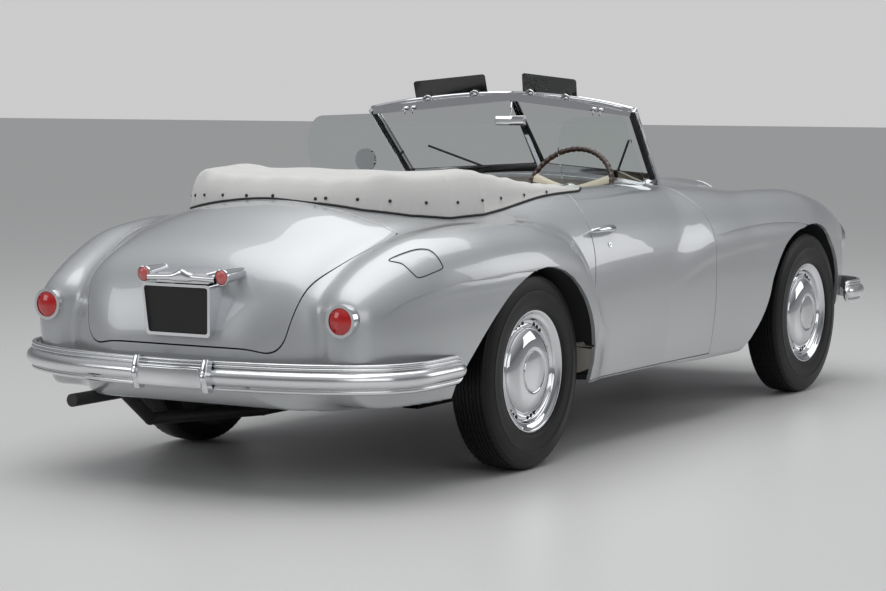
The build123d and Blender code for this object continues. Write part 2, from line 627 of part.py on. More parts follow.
def floor_pan():
    """Floor with its raised tunnel over the propeller shaft."""
    flat = box(FLOOR_WAIST, BULKHEAD, -FLOOR_HALF, FLOOR_HALF, FLOOR_BOTTOM, FLOOR_TOP)
    flat = flat.fuse(box(CABIN_STEP, FLOOR_WAIST, -REAR_FLOOR_HALF, REAR_FLOOR_HALF, FLOOR_BOTTOM,
                         FLOOR_TOP))
    tunnel = box(KICK_UP, BULKHEAD + 90, -TUNNEL_HALF, TUNNEL_HALF, FLOOR_BOTTOM, TUNNEL_TOP)
    inside = box(KICK_UP - 1, BULKHEAD + 91, -TUNNEL_HALF + 8, TUNNEL_HALF - 8, 200, TUNNEL_TOP - 8)
    return flat.fuse(tunnel) - inside


def exhaust():
    """Pipe, silencer and tail pipe along the left side, hung from the floor."""
    y, z = EXHAUST_Y, EXHAUST_Z
    pipe = rod((ENGINE_REAR + 150, y, z), (EXHAUST_BEND, y, z), EXHAUST_RADIUS)
    silencer = rod((-100, y, z), (-700, y, z), 58)
    side = RAIL_Y + RAIL_WIDTH / 2 + EXHAUST_RADIUS + 6
    corners = [(EXHAUST_BEND, y, z), (RAIL_REAR + 220, side, z), (RAIL_REAR + 60, side, TAIL_PIPE_Z),
               (TAIL + 60, side, TAIL_PIPE_Z)]
    tail = [rod(start, end, EXHAUST_RADIUS) for start, end in zip(corners, corners[1:])]
    tail += [Pos(*corner) * Sphere(EXHAUST_RADIUS + KNEE_ROOM) for corner in corners[:-1]]
    hangers = [box(x, x + 30, y - 12, y + 12, z, FLOOR_BOTTOM) for x in (180, KICK_UP + 50)]
    return pipe.fuse(silencer, *tail, *hangers)


# ---- bumpers ------------------------------------------------------------------------------
# Section of the bumper blade, (outwards, height above its lower edge): one fine rib, a broad
# one and two fine ones on a flat back.
BLADE_RIBS = [
    [(3, 0), (10, 8), (5, 17)],
    [(5, 17), (34, 48), (5, 79)],
    [(5, 79), (10.5, 85.5), (5, 92)],
    [(5, 92), (9, 98.5), (3, 105)],
]


def blade_section():
    """Closed outline of the bumper's section in its own plane."""
    edges = [Edge.make_three_point_arc(*points) for points in BLADE_RIBS]
    low, top = BLADE_RIBS[0][0], BLADE_RIBS[-1][-1]
    back = [top, (-BLADE_BACK, top[1]), (-BLADE_BACK, low[1]), low]
    edges += [Edge.make_line(p, q) for p, q in zip(back, back[1:])]
    return Face(Wire(edges))


def bumper(end):
    """Blade wrapped round one end of the car; `end` is +1 for the front and -1 for the rear."""
    face = (NOSE if end > 0 else -TAIL) - BLADE_DEPTH
    wrap = FRONT_BUMPER_WRAP if end > 0 else REAR_BUMPER_WRAP
    half_plan = [(face - wrap, BUMPER_HALF - 10), (face - 235, BUMPER_HALF + 6), (face - 70, 520)]
    plan = half_plan + [(face, 0)] + [(x, -y) for x, y in reversed(half_plan)]
    points = [(end * x, end * y, BUMPER_BOTTOM) for x, y in plan]
    path = FilletPolyline(*points, radius=[220, 260, 1500, 260, 220])
    start, along = path @ 0, path % 0
    section_plane = Plane(origin=start, x_dir=Vector(-along.Y, along.X, 0), z_dir=along)
    return Solid.sweep(section_plane * blade_section(), Wire(path.edges()))


# ---- windscreen, glass and roof -----------------------------------------------------------
# Corners of the left pane: foot and head of the centre post, foot and head of the pillar.
POST_FOOT = Vector(DOOR_FRONT - 11, 0, 1088)
POST_HEAD = Vector(DOOR_FRONT - 280, 0, 1394)
PILLAR_FOOT = Vector(DOOR_FRONT - 127, BELT_HALF - 10, 1052)
PILLAR_HEAD = Vector(DOOR_FRONT - 387, BELT_HALF + 19, 1330)
PANE = Plane(origin=PILLAR_FOOT, x_dir=POST_FOOT - PILLAR_FOOT,
             z_dir=(POST_FOOT - PILLAR_FOOT).cross(PILLAR_HEAD - PILLAR_FOOT))
PANE_CORNERS = [PANE.to_local_coords(corner)
                for corner in (POST_FOOT, PILLAR_FOOT, PILLAR_HEAD, POST_HEAD)]


def pane():
    """Left pane of the windscreen, in the plane of its post and pillar."""
    outline = Polygon(*[(corner.X, corner.Y) for corner in PANE_CORNERS], align=None)
    return extrude(PANE * outline, amount=2.5, both=True)


def windscreen(shell):
    """Frame with its centre post and header, and the two flat panes of glass."""
    glass = pair(pane())
    members = []
    for side in (-1, 1):
        foot = Vector(PILLAR_FOOT.X, side * PILLAR_FOOT.Y, PILLAR_FOOT.Z)
        head = Vector(PILLAR_HEAD.X, side * PILLAR_HEAD.Y, PILLAR_HEAD.Z)
        rake = (head - foot).normalized()
        members.append(bar(foot - rake * 60, head + rake * 16, 30, 24))
        members.append(bar(POST_HEAD - Vector(0, side * 6, 0), head, 42, 34, across=(1, 0, 0)))
        plinth = Wire.make_polygon([POST_FOOT + Vector(0, 0, 12), foot + Vector(0, 0, 12),
                                    foot - Vector(0, 0, 62), POST_FOOT - Vector(0, 0, 80)],
                                   close=True)
        members.append(Solid.extrude(Face(plinth), Vector(24, 0, 0)).moved(Location((-12, 0, 0))))
    post_rake = (POST_HEAD - POST_FOOT).normalized()
    members.append(bar(POST_FOOT - post_rake * 20, POST_HEAD + post_rake * 10, 22, 26))
    frame = members[0].fuse(*members[1:])
    over_doors = pair(shell.moved(Location((0, 0, SEAM))) & door_prism(SEAM))
    return frame.cut(shell, *over_doors, *glass), glass


def door_glass():
    """Left side window with its round rear top corner, standing in the door."""
    front_foot = (PILLAR_FOOT.X - 40, BELT_HEIGHT - GLASS_SEAT)
    front_head = (PILLAR_HEAD.X - 26, 1318)
    outline = side_wire(
        [front_foot, front_head],
        [front_head, (-640, 1314)],
        [(-640, 1314), (-735, 1262), (-750, 1170)],
        [(-750, 1170), (DOOR_REAR_TOP + 40, BELT_HEIGHT - GLASS_SEAT)],
        [(DOOR_REAR_TOP + 40, BELT_HEIGHT - GLASS_SEAT), front_foot],
    )
    return side_prism(outline, GLASS_Y - 2.5, GLASS_Y + 2.5)


def sun_visors(header):
    """Two tinted flaps turned up above the header, each on two brackets."""
    flaps = []
    for side, inner, outer in ((1, 110, 445), (-1, 62, 355)):
        head = Vector(PILLAR_HEAD.X, side * PILLAR_HEAD.Y, PILLAR_HEAD.Z)
        along = (head - POST_HEAD).normalized()
        upward = Vector(-sin(radians(VISOR_LEAN)), 0, cos(radians(VISOR_LEAN)))
        plane = Plane(origin=POST_HEAD, x_dir=along, z_dir=along.cross(upward))
        if side < 0:
            plane = Plane(origin=POST_HEAD, x_dir=along, z_dir=upward.cross(along))
        up = 1 if plane.y_dir.Z > 0 else -1
        middle, width = (inner + outer) / 2, outer - inner
        sheet = Pos(middle, up * (VISOR_LOW + VISOR_HIGH) / 2) * RectangleRounded(
            width, VISOR_HIGH - VISOR_LOW, 12)
        flap = extrude(plane * sheet, amount=2, both=True)
        for shift in (-0.3, 0.3):
            bracket = Pos(middle + shift * width, up * 30) * Rectangle(14, 52)
            flap = flap.fuse(extrude(plane * bracket, amount=5, both=True))
        flaps.append(largest(flap.cut(header)))
    return flaps


def interior_mirror(header):
    glass = Pos(MIRROR_X, 0, 1290) * Box(14, 150, 44)
    stalk = rod((MIRROR_X, 0, 1300), (MIRROR_X + 20, 0, 1384), 5)
    return largest(glass.fuse(stalk).cut(header))


def wipers(shell):
    """Two arms in front of the glass, on pivots that stand on the cowl."""
    out = []
    for foot, head in WIPERS:
        foot, head = Vector(*foot), Vector(*head)
        pivot = rod(foot - Vector(0, 0, 60), foot + Vector(0, 0, 8), 12)
        out.append(largest(pivot.cut(shell)).fuse(rod(foot, head, 5)))
    return out


# ---- cabin --------------------------------------------------------------------------------
COLUMN_AXIS = Vector(cos(radians(COLUMN_RAKE)), 0, -sin(radians(COLUMN_RAKE)))
WHEEL_HUB = Vector(-149, -330, 994)


def steering():
    """Steering column and its wheel; the wheel's rim is round with broad spokes."""
    column = rod(WHEEL_HUB + COLUMN_AXIS * (34 + SEAT_GAP), WHEEL_HUB + COLUMN_AXIS * 900, 21)
    column = column & box(-400, FIREWALL, -500, 0, FLOOR_TOP, 1200)
    plane = Plane(origin=WHEEL_HUB, x_dir=(0, 1, 0), z_dir=-COLUMN_AXIS)
    rim = Torus(STEERING_RADIUS, 12)
    hub = Pos(0, 0, -4) * Cylinder(38, 60)
    spokes = []
    for angle in (-18, 90, 198):
        spoke = Pos(STEERING_RADIUS / 2, 0, -4) * Box(STEERING_RADIUS, 30, 7)
        spokes.append(Rot(0, 0, angle) * spoke)
    wheel = rim.fuse(hub, *spokes)
    return column, plane.location * wheel


def dashboard(column):
    """Panel across the cabin under the cowl, shaped to the inside of the body."""
    left = half_hollow(DOOR_WALL + SEAT_GAP)
    left = left & box(DASH_REAR, DASH_REAR + 110, 0, DOOR_INNER - 6, 800, 1100)
    around = rod(WHEEL_HUB, WHEEL_HUB + COLUMN_AXIS * 600, 21)
    return whole(left) - around


def front_seats():
    """Two separate seats, each a cushion with a raked back."""
    side_view = side_wire(
        [(-130, FLOOR_TOP), (-130, 500)],
        [(-130, 500), (-150, 540), (-200, 545)],
        [(-200, 545), (-560, 500)],
        [(-560, 500), (-690, 900)],
        [(-690, 900), (-730, 930), (-775, 905)],
        [(-775, 905), (-690, 480)],
        [(-690, 480), (-640, FLOOR_TOP)],
        [(-640, FLOOR_TOP), (-130, FLOOR_TOP)],
    )
    return pair(side_prism(side_view, TUNNEL_HALF + 8, 590))


def rear_bench():
    side_view = side_wire(
        [(-860, FLOOR_TOP), (-860, 560)],
        [(-860, 560), (-880, 600), (-930, 605)],
        [(-930, 605), (-1130, 585)],
        [(-1130, 585), (-1190, 880)],
        [(-1190, 880), (CABIN_REAR, 900)],
        [(CABIN_REAR, 900), (CABIN_REAR, STEP_TOP)],
        [(CABIN_REAR, STEP_TOP), (CABIN_STEP, STEP_TOP)],
        [(CABIN_STEP, STEP_TOP), (CABIN_STEP, FLOOR_TOP)],
        [(CABIN_STEP, FLOOR_TOP), (-860, FLOOR_TOP)],
    )
    tunnel = box(KICK_UP, 0, -TUNNEL_HALF, TUNNEL_HALF, 200, TUNNEL_TOP)
    return side_prism(side_view, -480, 480) - tunnel


# ---- folded top ---------------------------------------------------------------------------
def cover_plan(grow):
    """Plan of the folded top's cover: across the tail, with an arm along each side."""
    rear, side = COVER_REAR - grow, COVER_HALF + grow
    inner, tip = COVER_HALF - 95, COVER_TIP
    left = [(rear, 0), (rear, 250), (rear + 140, side - 45), (rear + 330, side), (tip + 200, side),
            (tip, side - 30 - grow)]
    back = [(tip + 10, inner + 20), (COVER_FRONT + 60, inner), (COVER_FRONT, inner - 60),
            (COVER_FRONT, 0)]
    points = left + back
    return points


def top_cover(shell):
    """Cover over the folded top, seated on the body behind the seats."""
    points = cover_plan(0)
    outline = points + [(x, -y) for x, y in reversed(points[1:-1])]
    plan = Face(Wire.make_polygon([(x, y, 900) for x, y in outline], close=True))
    block = Solid.extrude(plan, Vector(0, 0, COVER_TOP - 900))
    slope = box(COVER_FRONT + 60, 0, -900, 900, 1072, 1300)
    return (block - slope).cut(shell)


# ---- lamps, grille and fittings -----------------------------------------------------------
def headlamp():
    """Left headlamp: chrome rim and domed lens in their pocket."""
    front = FRONT_AXLE + 752
    rim = ring(LAMP_RADIUS, LAMP_RADIUS - 14, LAMP_BACK, front, LAMP_Y, LAMP_Z)
    lens = disc_x(LAMP_RADIUS - 14, LAMP_BACK, front - 12, LAMP_Y, LAMP_Z)
    bulge = Pos(front - 12 - 200, LAMP_Y, LAMP_Z) * Sphere(217)
    bulge = bulge & disc_x(LAMP_RADIUS - 14, front - 12, front + 20, LAMP_Y, LAMP_Z)
    return rim, lens.fuse(bulge)


def tail_lamp():
    back = REAR_AXLE - 1066
    rim = ring(TAIL_LAMP_RADIUS, TAIL_LAMP_RADIUS - 11, back, TAIL_LAMP_FACE, TAIL_LAMP_Y, TAIL_LAMP_Z)
    lens = disc_x(TAIL_LAMP_RADIUS - 11, back + 6, TAIL_LAMP_FACE, TAIL_LAMP_Y, TAIL_LAMP_Z)
    dome = Pos(back + 6 + 70, TAIL_LAMP_Y, TAIL_LAMP_Z) * Sphere(86)
    dome = dome & disc_x(TAIL_LAMP_RADIUS - 11, back - 14, back + 6, TAIL_LAMP_Y, TAIL_LAMP_Z)
    return rim, lens.fuse(dome)


def grille():
    """Round-topped surround with upright bars in front of the air inlet."""
    x = FRONT_AXLE + 690
    high = AIR_INLET_TOP - AIR_INLET_LOW + 30
    middle = (AIR_INLET_TOP + AIR_INLET_LOW) / 2
    plane = Plane(origin=(x, 0, middle), x_dir=(0, 1, 0), z_dir=(1, 0, 0))
    outer = RectangleRounded(2 * AIR_INLET_HALF + 30, high, 60)
    inner = RectangleRounded(2 * AIR_INLET_HALF, high - 30, 48)
    surround = extrude(plane * (outer - inner), amount=22)
    bars = []
    count = 11
    for index in range(count):
        y = (index - (count - 1) / 2) * 2 * AIR_INLET_HALF / count
        bars.append(box(x, x + 16, y - 3, y + 3, AIR_INLET_LOW - 10, AIR_INLET_TOP + 10))
    return surround.fuse(*bars)


def boot_fittings(shell):
    """Plate housing with its handle, the plate and two reflector lamps on the boot lid."""
    face = REAR_AXLE - 1120
    plane = Plane(origin=(face, PLATE_Y, 680), x_dir=(0, -1, 0), z_dir=(-1, 0, -0.08))
    housing = extrude(plane * RectangleRounded(330, 210, 40), amount=26)
    housing = housing.fuse(extrude(plane * RectangleRounded(330, 210, 40), amount=-90))
    housing = largest(housing.cut(shell))
    plate = extrude(plane.offset(26) * Rectangle(275, 150), amount=6)
    lamps = [extrude(plane.offset(26) * (Pos(spot, 84) * Circle(15)), amount=10)
             for spot in (-150, 150)]
    return housing, plate, lamps


def door_handle():
    """Teardrop pull on the left door."""
    y = HALF_WIDTH - 30
    grip = Pos(-735, y + 12, 866) * Box(190, 18, 22)
    return grip.fuse(box(-700, -680, y - 60, y + 10, 858, 874))


def door_mirror():
    """Round mirror on a short stem on the left door."""
    base_x, y = -210.0, 648.0
    stem = rod((base_x, y, 1000), (base_x, y + 6, 1072), 7)
    head = Pos(base_x, y + 8, 1112) * Rot(0, 90, 0) * Cylinder(50, 16)
    return stem.fuse(head)


def build():
    panels, shell = body_panels()
    bumpers = {"front_bumper": bumper(1), "rear_bumper": bumper(-1)}
    for name, blade in bumpers.items():
        save(name, blade)
    frame, glass = windscreen(shell)
    save("windscreen_frame", frame)
    save("windscreen_glass", *glass)
    save("sun_visors", *sun_visors(frame))
    save("interior_mirror", interior_mirror(frame))
    save("wipers", *wipers(shell))
    window = door_glass()
    handle, mirror_piece = door_handle(), door_mirror()
    for hand in ("left", "right"):
        place = mirrored if hand == "right" else (lambda shape: shape)
        save("door_glass_" + hand, place(window))
        save("door_handle_" + hand, place(handle.cut(panels["door_left"])))
        save("knuckle_" + hand, place(knuckle()))
    save("door_mirror", mirror_piece.cut(panels["door_left"]))
    panels["door_left"] = panels["door_left"] - window
    panels["door_right"] = mirrored(panels["door_left"])
    housing, plate, reflectors = boot_fittings(shell)
    save("plate_housing", housing)
    save("number_plate", plate)
    save("reflector_lamps", *reflectors)
    for name, panel in panels.items():
        save(name, panel)
    column, wheel = steering()
    save("steering_column", column)
    save("steering_wheel", wheel)
    save("dashboard", dashboard(column))
    save("front_seats", *front_seats())
    save("rear_bench", rear_bench())
    save("top_cover", top_cover(shell))
    save("floor_pan", floor_pan())
    save("chassis_frame", chassis_frame(bumpers.values()))
    save("engine_block", box(ENGINE_REAR, ENGINE_FRONT, -170, 170, ENGINE_BOTTOM, 800))
    save("propeller_shaft", rod((REAR_AXLE + 190, 0, AXLE_HEIGHT), (ENGINE_REAR, 0, AXLE_HEIGHT), 30))
    save("front_suspension", *front_suspension())
    save("rear_axle", rear_axle())
    save("exhaust", exhaust())
    rim, lens = headlamp()
    tail_rim, tail_lens = tail_lamp()
    save("lamp_rims", *pair(rim), *pair(tail_rim))
    save("headlamp_lenses", *pair(lens))
    save("tail_lamp_lenses", *pair(tail_lens))
    save("grille", grille())
    wheels()


if __name__ == "__main__":
    os.makedirs("parts", exist_ok=True)
    with SkipClean():
        build()
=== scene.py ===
import json
from math import cos, pi, radians, sin

import bmesh
import bpy
import numpy as np
from mathutils import Matrix, Vector

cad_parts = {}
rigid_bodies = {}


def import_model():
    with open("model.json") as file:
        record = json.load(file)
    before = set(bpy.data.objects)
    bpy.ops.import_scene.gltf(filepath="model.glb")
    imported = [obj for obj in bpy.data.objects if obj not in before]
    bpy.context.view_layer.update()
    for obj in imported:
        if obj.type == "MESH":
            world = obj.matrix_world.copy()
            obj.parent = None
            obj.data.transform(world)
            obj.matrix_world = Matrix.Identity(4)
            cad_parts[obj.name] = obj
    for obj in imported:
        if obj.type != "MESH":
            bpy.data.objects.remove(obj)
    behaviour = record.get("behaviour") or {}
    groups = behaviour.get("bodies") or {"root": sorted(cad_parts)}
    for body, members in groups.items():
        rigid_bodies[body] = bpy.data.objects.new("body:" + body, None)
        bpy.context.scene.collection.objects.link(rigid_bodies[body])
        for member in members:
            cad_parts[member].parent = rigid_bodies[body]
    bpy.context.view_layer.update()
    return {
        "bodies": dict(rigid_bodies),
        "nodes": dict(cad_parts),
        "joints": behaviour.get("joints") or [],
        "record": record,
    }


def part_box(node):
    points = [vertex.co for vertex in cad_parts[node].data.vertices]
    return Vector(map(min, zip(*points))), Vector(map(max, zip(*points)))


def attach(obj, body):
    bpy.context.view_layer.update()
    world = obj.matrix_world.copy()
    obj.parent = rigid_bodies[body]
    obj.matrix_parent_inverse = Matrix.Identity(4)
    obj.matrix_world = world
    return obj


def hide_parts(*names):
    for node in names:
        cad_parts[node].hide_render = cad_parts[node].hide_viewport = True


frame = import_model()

NODES = frame["nodes"]

# ---- frame: the body is drawn about the middle of the wheelbase, in metres --------------------
WHEELBASE = 2.700
FRONT_AXLE, REAR_AXLE = WHEELBASE / 2, -WHEELBASE / 2
low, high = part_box("tyre_front_left")
SHIFT = (low[0] + high[0]) / 2 - FRONT_AXLE
AXLE_HEIGHT = (low[2] + high[2]) / 2
SEAM = 0.006
STEP = 0.011          # grid of the body's surface


# ---- small mesh helpers -----------------------------------------------------------------------
def new_object(name, points, faces, look, normals=None, shift=True):
    """A smooth mesh object; its points are about mid-wheelbase unless `shift` is off."""
    points = np.asarray(points, float)
    if shift:
        points = points + [SHIFT, 0, 0]
    mesh = bpy.data.meshes.new(name)
    mesh.from_pydata(points.tolist(), [], [list(map(int, face)) for face in faces])
    mesh.validate()
    mesh.update()
    mesh.polygons.foreach_set("use_smooth", [True] * len(mesh.polygons))
    if normals is not None:
        mesh.normals_split_custom_set_from_vertices(np.asarray(normals, float).tolist())
    obj = bpy.data.objects.new(name, mesh)
    bpy.context.scene.collection.objects.link(obj)
    mesh.materials.append(look)
    return obj


def unit(v):
    """Rows scaled to length one."""
    return v / np.maximum(np.linalg.norm(v, axis=-1, keepdims=True), 1e-12)


def pchip(xs, ys, x):
    """Monotone cubic interpolation of rows of values."""
    xs, ys = np.asarray(xs, float), np.asarray(ys, float)
    h = np.diff(xs)[:, None]
    slope = np.diff(ys, axis=0) / h
    d = np.zeros_like(ys)
    w1 = 2 * h[1:] + h[:-1]
    w2 = h[1:] + 2 * h[:-1]
    same = slope[:-1] * slope[1:] > 0
    with np.errstate(divide="ignore", invalid="ignore"):
        mean = (w1 + w2) / (w1 / slope[:-1] + w2 / slope[1:])
    d[1:-1] = np.where(same, mean, 0)
    d[0], d[-1] = slope[0], slope[-1]
    k = np.clip(np.searchsorted(xs, x) - 1, 0, len(xs) - 2)
    t = ((x - xs[k]) / h[k, 0])[:, None]
    hk = h[k]
    return ((1 + 2 * t) * (1 - t) ** 2 * ys[k] + t * (1 - t) ** 2 * hk * d[k]
            + t ** 2 * (3 - 2 * t) * ys[k + 1] + t ** 2 * (t - 1) * hk * d[k + 1])


def gauss_rows(a, sigma):
    """Smooth along the first axis, with the ends held."""
    if sigma <= 0:
        return a
    reach = int(3 * sigma) + 1
    kernel = np.exp(-0.5 * (np.arange(-reach, reach + 1) / sigma) ** 2)
    kernel /= kernel.sum()
    first, last = 2 * a[:1] - a[reach:0:-1], 2 * a[-1:] - a[-2:-reach - 2:-1]
    wide = np.concatenate([first, a, last])
    return np.apply_along_axis(lambda c: np.convolve(c, kernel, "valid"), 0, wide)


def arc3(p, q, r, n):
    """Points on the arcs through three points, for many arcs at once: (rows, n, 2)."""
    ax, ay = p[:, 0], p[:, 1]
    bx, by = q[:, 0], q[:, 1]
    cx, cy = r[:, 0], r[:, 1]
    d = 2 * (ax * (by - cy) + bx * (cy - ay) + cx * (ay - by))
    d = np.where(np.abs(d) < 1e-9, 1e-9, d)
    a2, b2, c2 = ax * ax + ay * ay, bx * bx + by * by, cx * cx + cy * cy
    ux = (a2 * (by - cy) + b2 * (cy - ay) + c2 * (ay - by)) / d
    uy = (a2 * (cx - bx) + b2 * (ax - cx) + c2 * (bx - ax)) / d
    start = np.arctan2(ay - uy, ax - ux)
    mid = np.arctan2(by - uy, bx - ux)
    end = np.arctan2(cy - uy, cx - ux)
    turn1 = (mid - start + pi) % (2 * pi) - pi
    turn2 = (end - mid + pi) % (2 * pi) - pi
    sweep = turn1 + turn2
    t = np.linspace(0, 1, n)
    angle = start[:, None] + sweep[:, None] * t
    radius = np.hypot(ax - ux, ay - uy)[:, None]
    return np.stack([ux[:, None] + radius * np.cos(angle),
                     uy[:, None] + radius * np.sin(angle)], -1)


def smin(a, b, k):
    """The smaller of two fields, blended where they differ by less than k."""
    h = np.maximum(k - np.abs(a - b), 0) / k
    return np.minimum(a, b) - h * h * k / 4


def smax(a, b, k):
    """The larger of two fields, blended where they differ by less than k."""
    return -smin(-a, -b, k)


def sd_polygon(points, q):
    """Signed distance of points q to a closed 2-D outline, negative inside."""
    points = np.asarray(points, float)
    q = np.asarray(q, float)
    best = np.full(len(q), 1e9)
    inside = np.zeros(len(q), bool)
    x, y = q[:, 0], q[:, 1]
    for (ax, ay), (bx, by) in zip(points, np.roll(points, -1, 0)):
        ex, ey = bx - ax, by - ay
        length2 = ex * ex + ey * ey
        if length2 < 1e-16:
            continue
        t = np.clip(((x - ax) * ex + (y - ay) * ey) / length2, 0, 1)
        best = np.minimum(best, (x - ax - t * ex) ** 2 + (y - ay - t * ey) ** 2)
        cross = (ay > y) != (by > y)
        with np.errstate(divide="ignore", invalid="ignore"):
            at = ax + (y - ay) * ex / (ey if ey else 1e-12)
        inside ^= cross & (x < at)
    return np.where(inside, -1, 1) * np.sqrt(best)


def rounded(points, radii, n=8):
    """A closed 2-D outline with each corner rounded by its radius."""
    points = [np.asarray(p, float) for p in points]
    if not hasattr(radii, "__len__"):
        radii = [radii] * len(points)
    out = []
    for i, radius in enumerate(radii):
        a, b, c = points[i - 1], points[i], points[(i + 1) % len(points)]
        if radius <= 0:
            out.append(b)
            continue
        u, v = unit(a - b), unit(c - b)
        half = np.arccos(np.clip(u @ v, -1, 1)) / 2
        reach = min(radius / np.tan(half), 0.49 * np.linalg.norm(a - b),
                    0.49 * np.linalg.norm(c - b))
        for t in np.linspace(0, 1, n):
            out.append((1 - t) ** 2 * (b + u * reach) + 2 * t * (1 - t) * b
                       + t ** 2 * (b + v * reach))
    return np.array(out)


def spline(points, n=8, closed=False):
    """Catmull-Rom through control points."""
    p = np.asarray(points, float)
    if closed:
        p = np.concatenate([p[-1:], p, p[:2]])
    else:
        p = np.concatenate([2 * p[:1] - p[1:2], p, 2 * p[-1:] - p[-2:-1]])
    out = []
    for i in range(1, len(p) - 2):
        for t in np.arange(n) / n:
            out.append(0.5 * (2 * p[i] + (p[i + 1] - p[i - 1]) * t
                       + (2 * p[i - 1] - 5 * p[i] + 4 * p[i + 1] - p[i + 2]) * t ** 2
                       + (3 * p[i] - p[i - 1] - 3 * p[i + 1] + p[i + 2]) * t ** 3))
    if not closed:
        out.append(p[-2])
    return np.array(out)


# ---- body form: cross-sections along the car, in millimetres ----------------------------------
F, R = 1350, -1350                      # the axles, in the unit of the tables
HULL = [  # x, crown, belt y z, shoulder y z, flank y z, waist y z, sill y z
    (F + 690, 765, 120, 752, 165, 690, 178, 600, 175, 500, 150, 400),
    (F + 550, 872, 200, 852, 300, 770, 340, 660, 350, 500, 330, 350),
    (F + 150, 958, 320, 934, 450, 850, 500, 700, 510, 500, 490, 290),
    (F - 350, 1004, 420, 975, 580, 900, 640, 730, 650, 500, 640, 285),
    (F - 800, 1034, 520, 1000, 720, 908, 810, 700, 815, 500, 790, 280),
    (200, 1052, 620, 1003, 770, 889, 830, 690, 831, 500, 798, 280),
    (-280, 1058, 620, 1027, 766, 906, 833, 690, 833, 500, 800, 280),
    (-800, 1058, 620, 1025, 742, 915, 825, 680, 827, 500, 797, 284),
    (R, 1052, 590, 985, 670, 912, 720, 760, 725, 560, 715, 320),
    (R - 550, 1024, 460, 950, 590, 880, 660, 740, 670, 560, 650, 322),
    (R - 850, 930, 380, 890, 520, 815, 590, 690, 600, 520, 545, 318),
    (R - 1050, 818, 330, 790, 460, 735, 520, 640, 530, 490, 460, 318),
    (R - 1125, 640, 240, 632, 330, 600, 370, 550, 372, 470, 340, 330),
]
FRONT_WING = [  # x, inner y z, crown y z, outer y z, waist y z, low y z
    (F + 748, 550, 670, 600, 712, 655, 640, 655, 560, 640, 470),
    (F + 690, 510, 715, 602, 790, 705, 670, 708, 540, 690, 395),
    (F + 550, 480, 790, 622, 856, 748, 690, 758, 540, 735, 365),
    (F + 300, 470, 850, 648, 916, 802, 710, 812, 550, 785, 360),
    (F, 460, 880, 665, 950, 838, 720, 846, 560, 815, 340),
    (F - 400, 470, 890, 670, 957, 842, 720, 846, 540, 815, 300),
    (F - 800, 480, 880, 668, 955, 836, 710, 836, 520, 805, 280),
    (200, 480, 860, 660, 935, 831, 690, 829, 520, 797, 286),
    (-150, 480, 700, 640, 790, 780, 600, 785, 500, 760, 300),
]
REAR_WING = [
    (-770, 500, 500, 680, 530, 800, 460, 800, 400, 780, 302),
    (-850, 500, 620, 730, 655, 838, 530, 842, 450, 808, 288),
    (-920, 500, 750, 748, 795, 860, 620, 862, 490, 824, 288),
    (-1000, 500, 808, 754, 860, 868, 660, 868, 500, 832, 290),
    (R + 250, 500, 840, 752, 892, 870, 690, 870, 500, 835, 294),
    (R, 500, 860, 750, 922, 870, 700, 870, 520, 838, 330),
    (R - 300, 500, 860, 740, 922, 865, 700, 863, 540, 824, 335),
    (R - 600, 490, 830, 712, 900, 832, 690, 832, 530, 780, 328),
    (R - 850, 480, 770, 690, 815, 788, 655, 786, 520, 725, 326),
    (R - 990, 500, 700, 664, 745, 738, 645, 736, 520, 675, 338),
    (R - 1050, 540, 670, 648, 712, 706, 645, 706, 560, 660, 420),
]


TABLE_STEP = 0.01                       # spacing at which the tables are smoothed
HULL_SMOOTH, WING_SMOOTH = 0.045, 0.04  # reach of the smoothing along the car
OUTLINE_SMOOTH = 0.028                  # and round the hull's outline
HULL_POINTS = 161                       # points of an even outline
HULL_END_SOFT, WING_END_SOFT = 0.10, 0.07
FRONT_WING_SOFT, REAR_WING_SOFT = 0.075, 0.055
WING_INSIDE = 0.40                      # inner edge of a wing's closed outline


def table_at(rows, xs, sigma):
    """A table's values at each x, in metres, smoothed along x over about `sigma`."""
    rows = np.array(rows, float) / 1000
    rows = rows[np.argsort(rows[:, 0])]
    grid = np.arange(rows[0, 0], rows[-1, 0] + TABLE_STEP / 2, TABLE_STEP)
    smooth = gauss_rows(pchip(rows[:, 0], rows[:, 1:], grid), sigma / TABLE_STEP)
    at = np.clip(xs, rows[0, 0], rows[-1, 0])
    return np.stack([np.interp(at, grid, smooth[:, c]) for c in range(smooth.shape[1])], 1)


def even(outline, n):
    """Each row's outline drawn again with evenly spaced points."""
    out = np.empty((len(outline), n, 2))
    for i, line in enumerate(outline):
        run = np.concatenate([[0], np.cumsum(np.linalg.norm(np.diff(line, axis=0), axis=1))])
        at = np.linspace(0, run[-1], n)
        out[i, :, 0] = np.interp(at, run, line[:, 0])
        out[i, :, 1] = np.interp(at, run, line[:, 1])
    return out


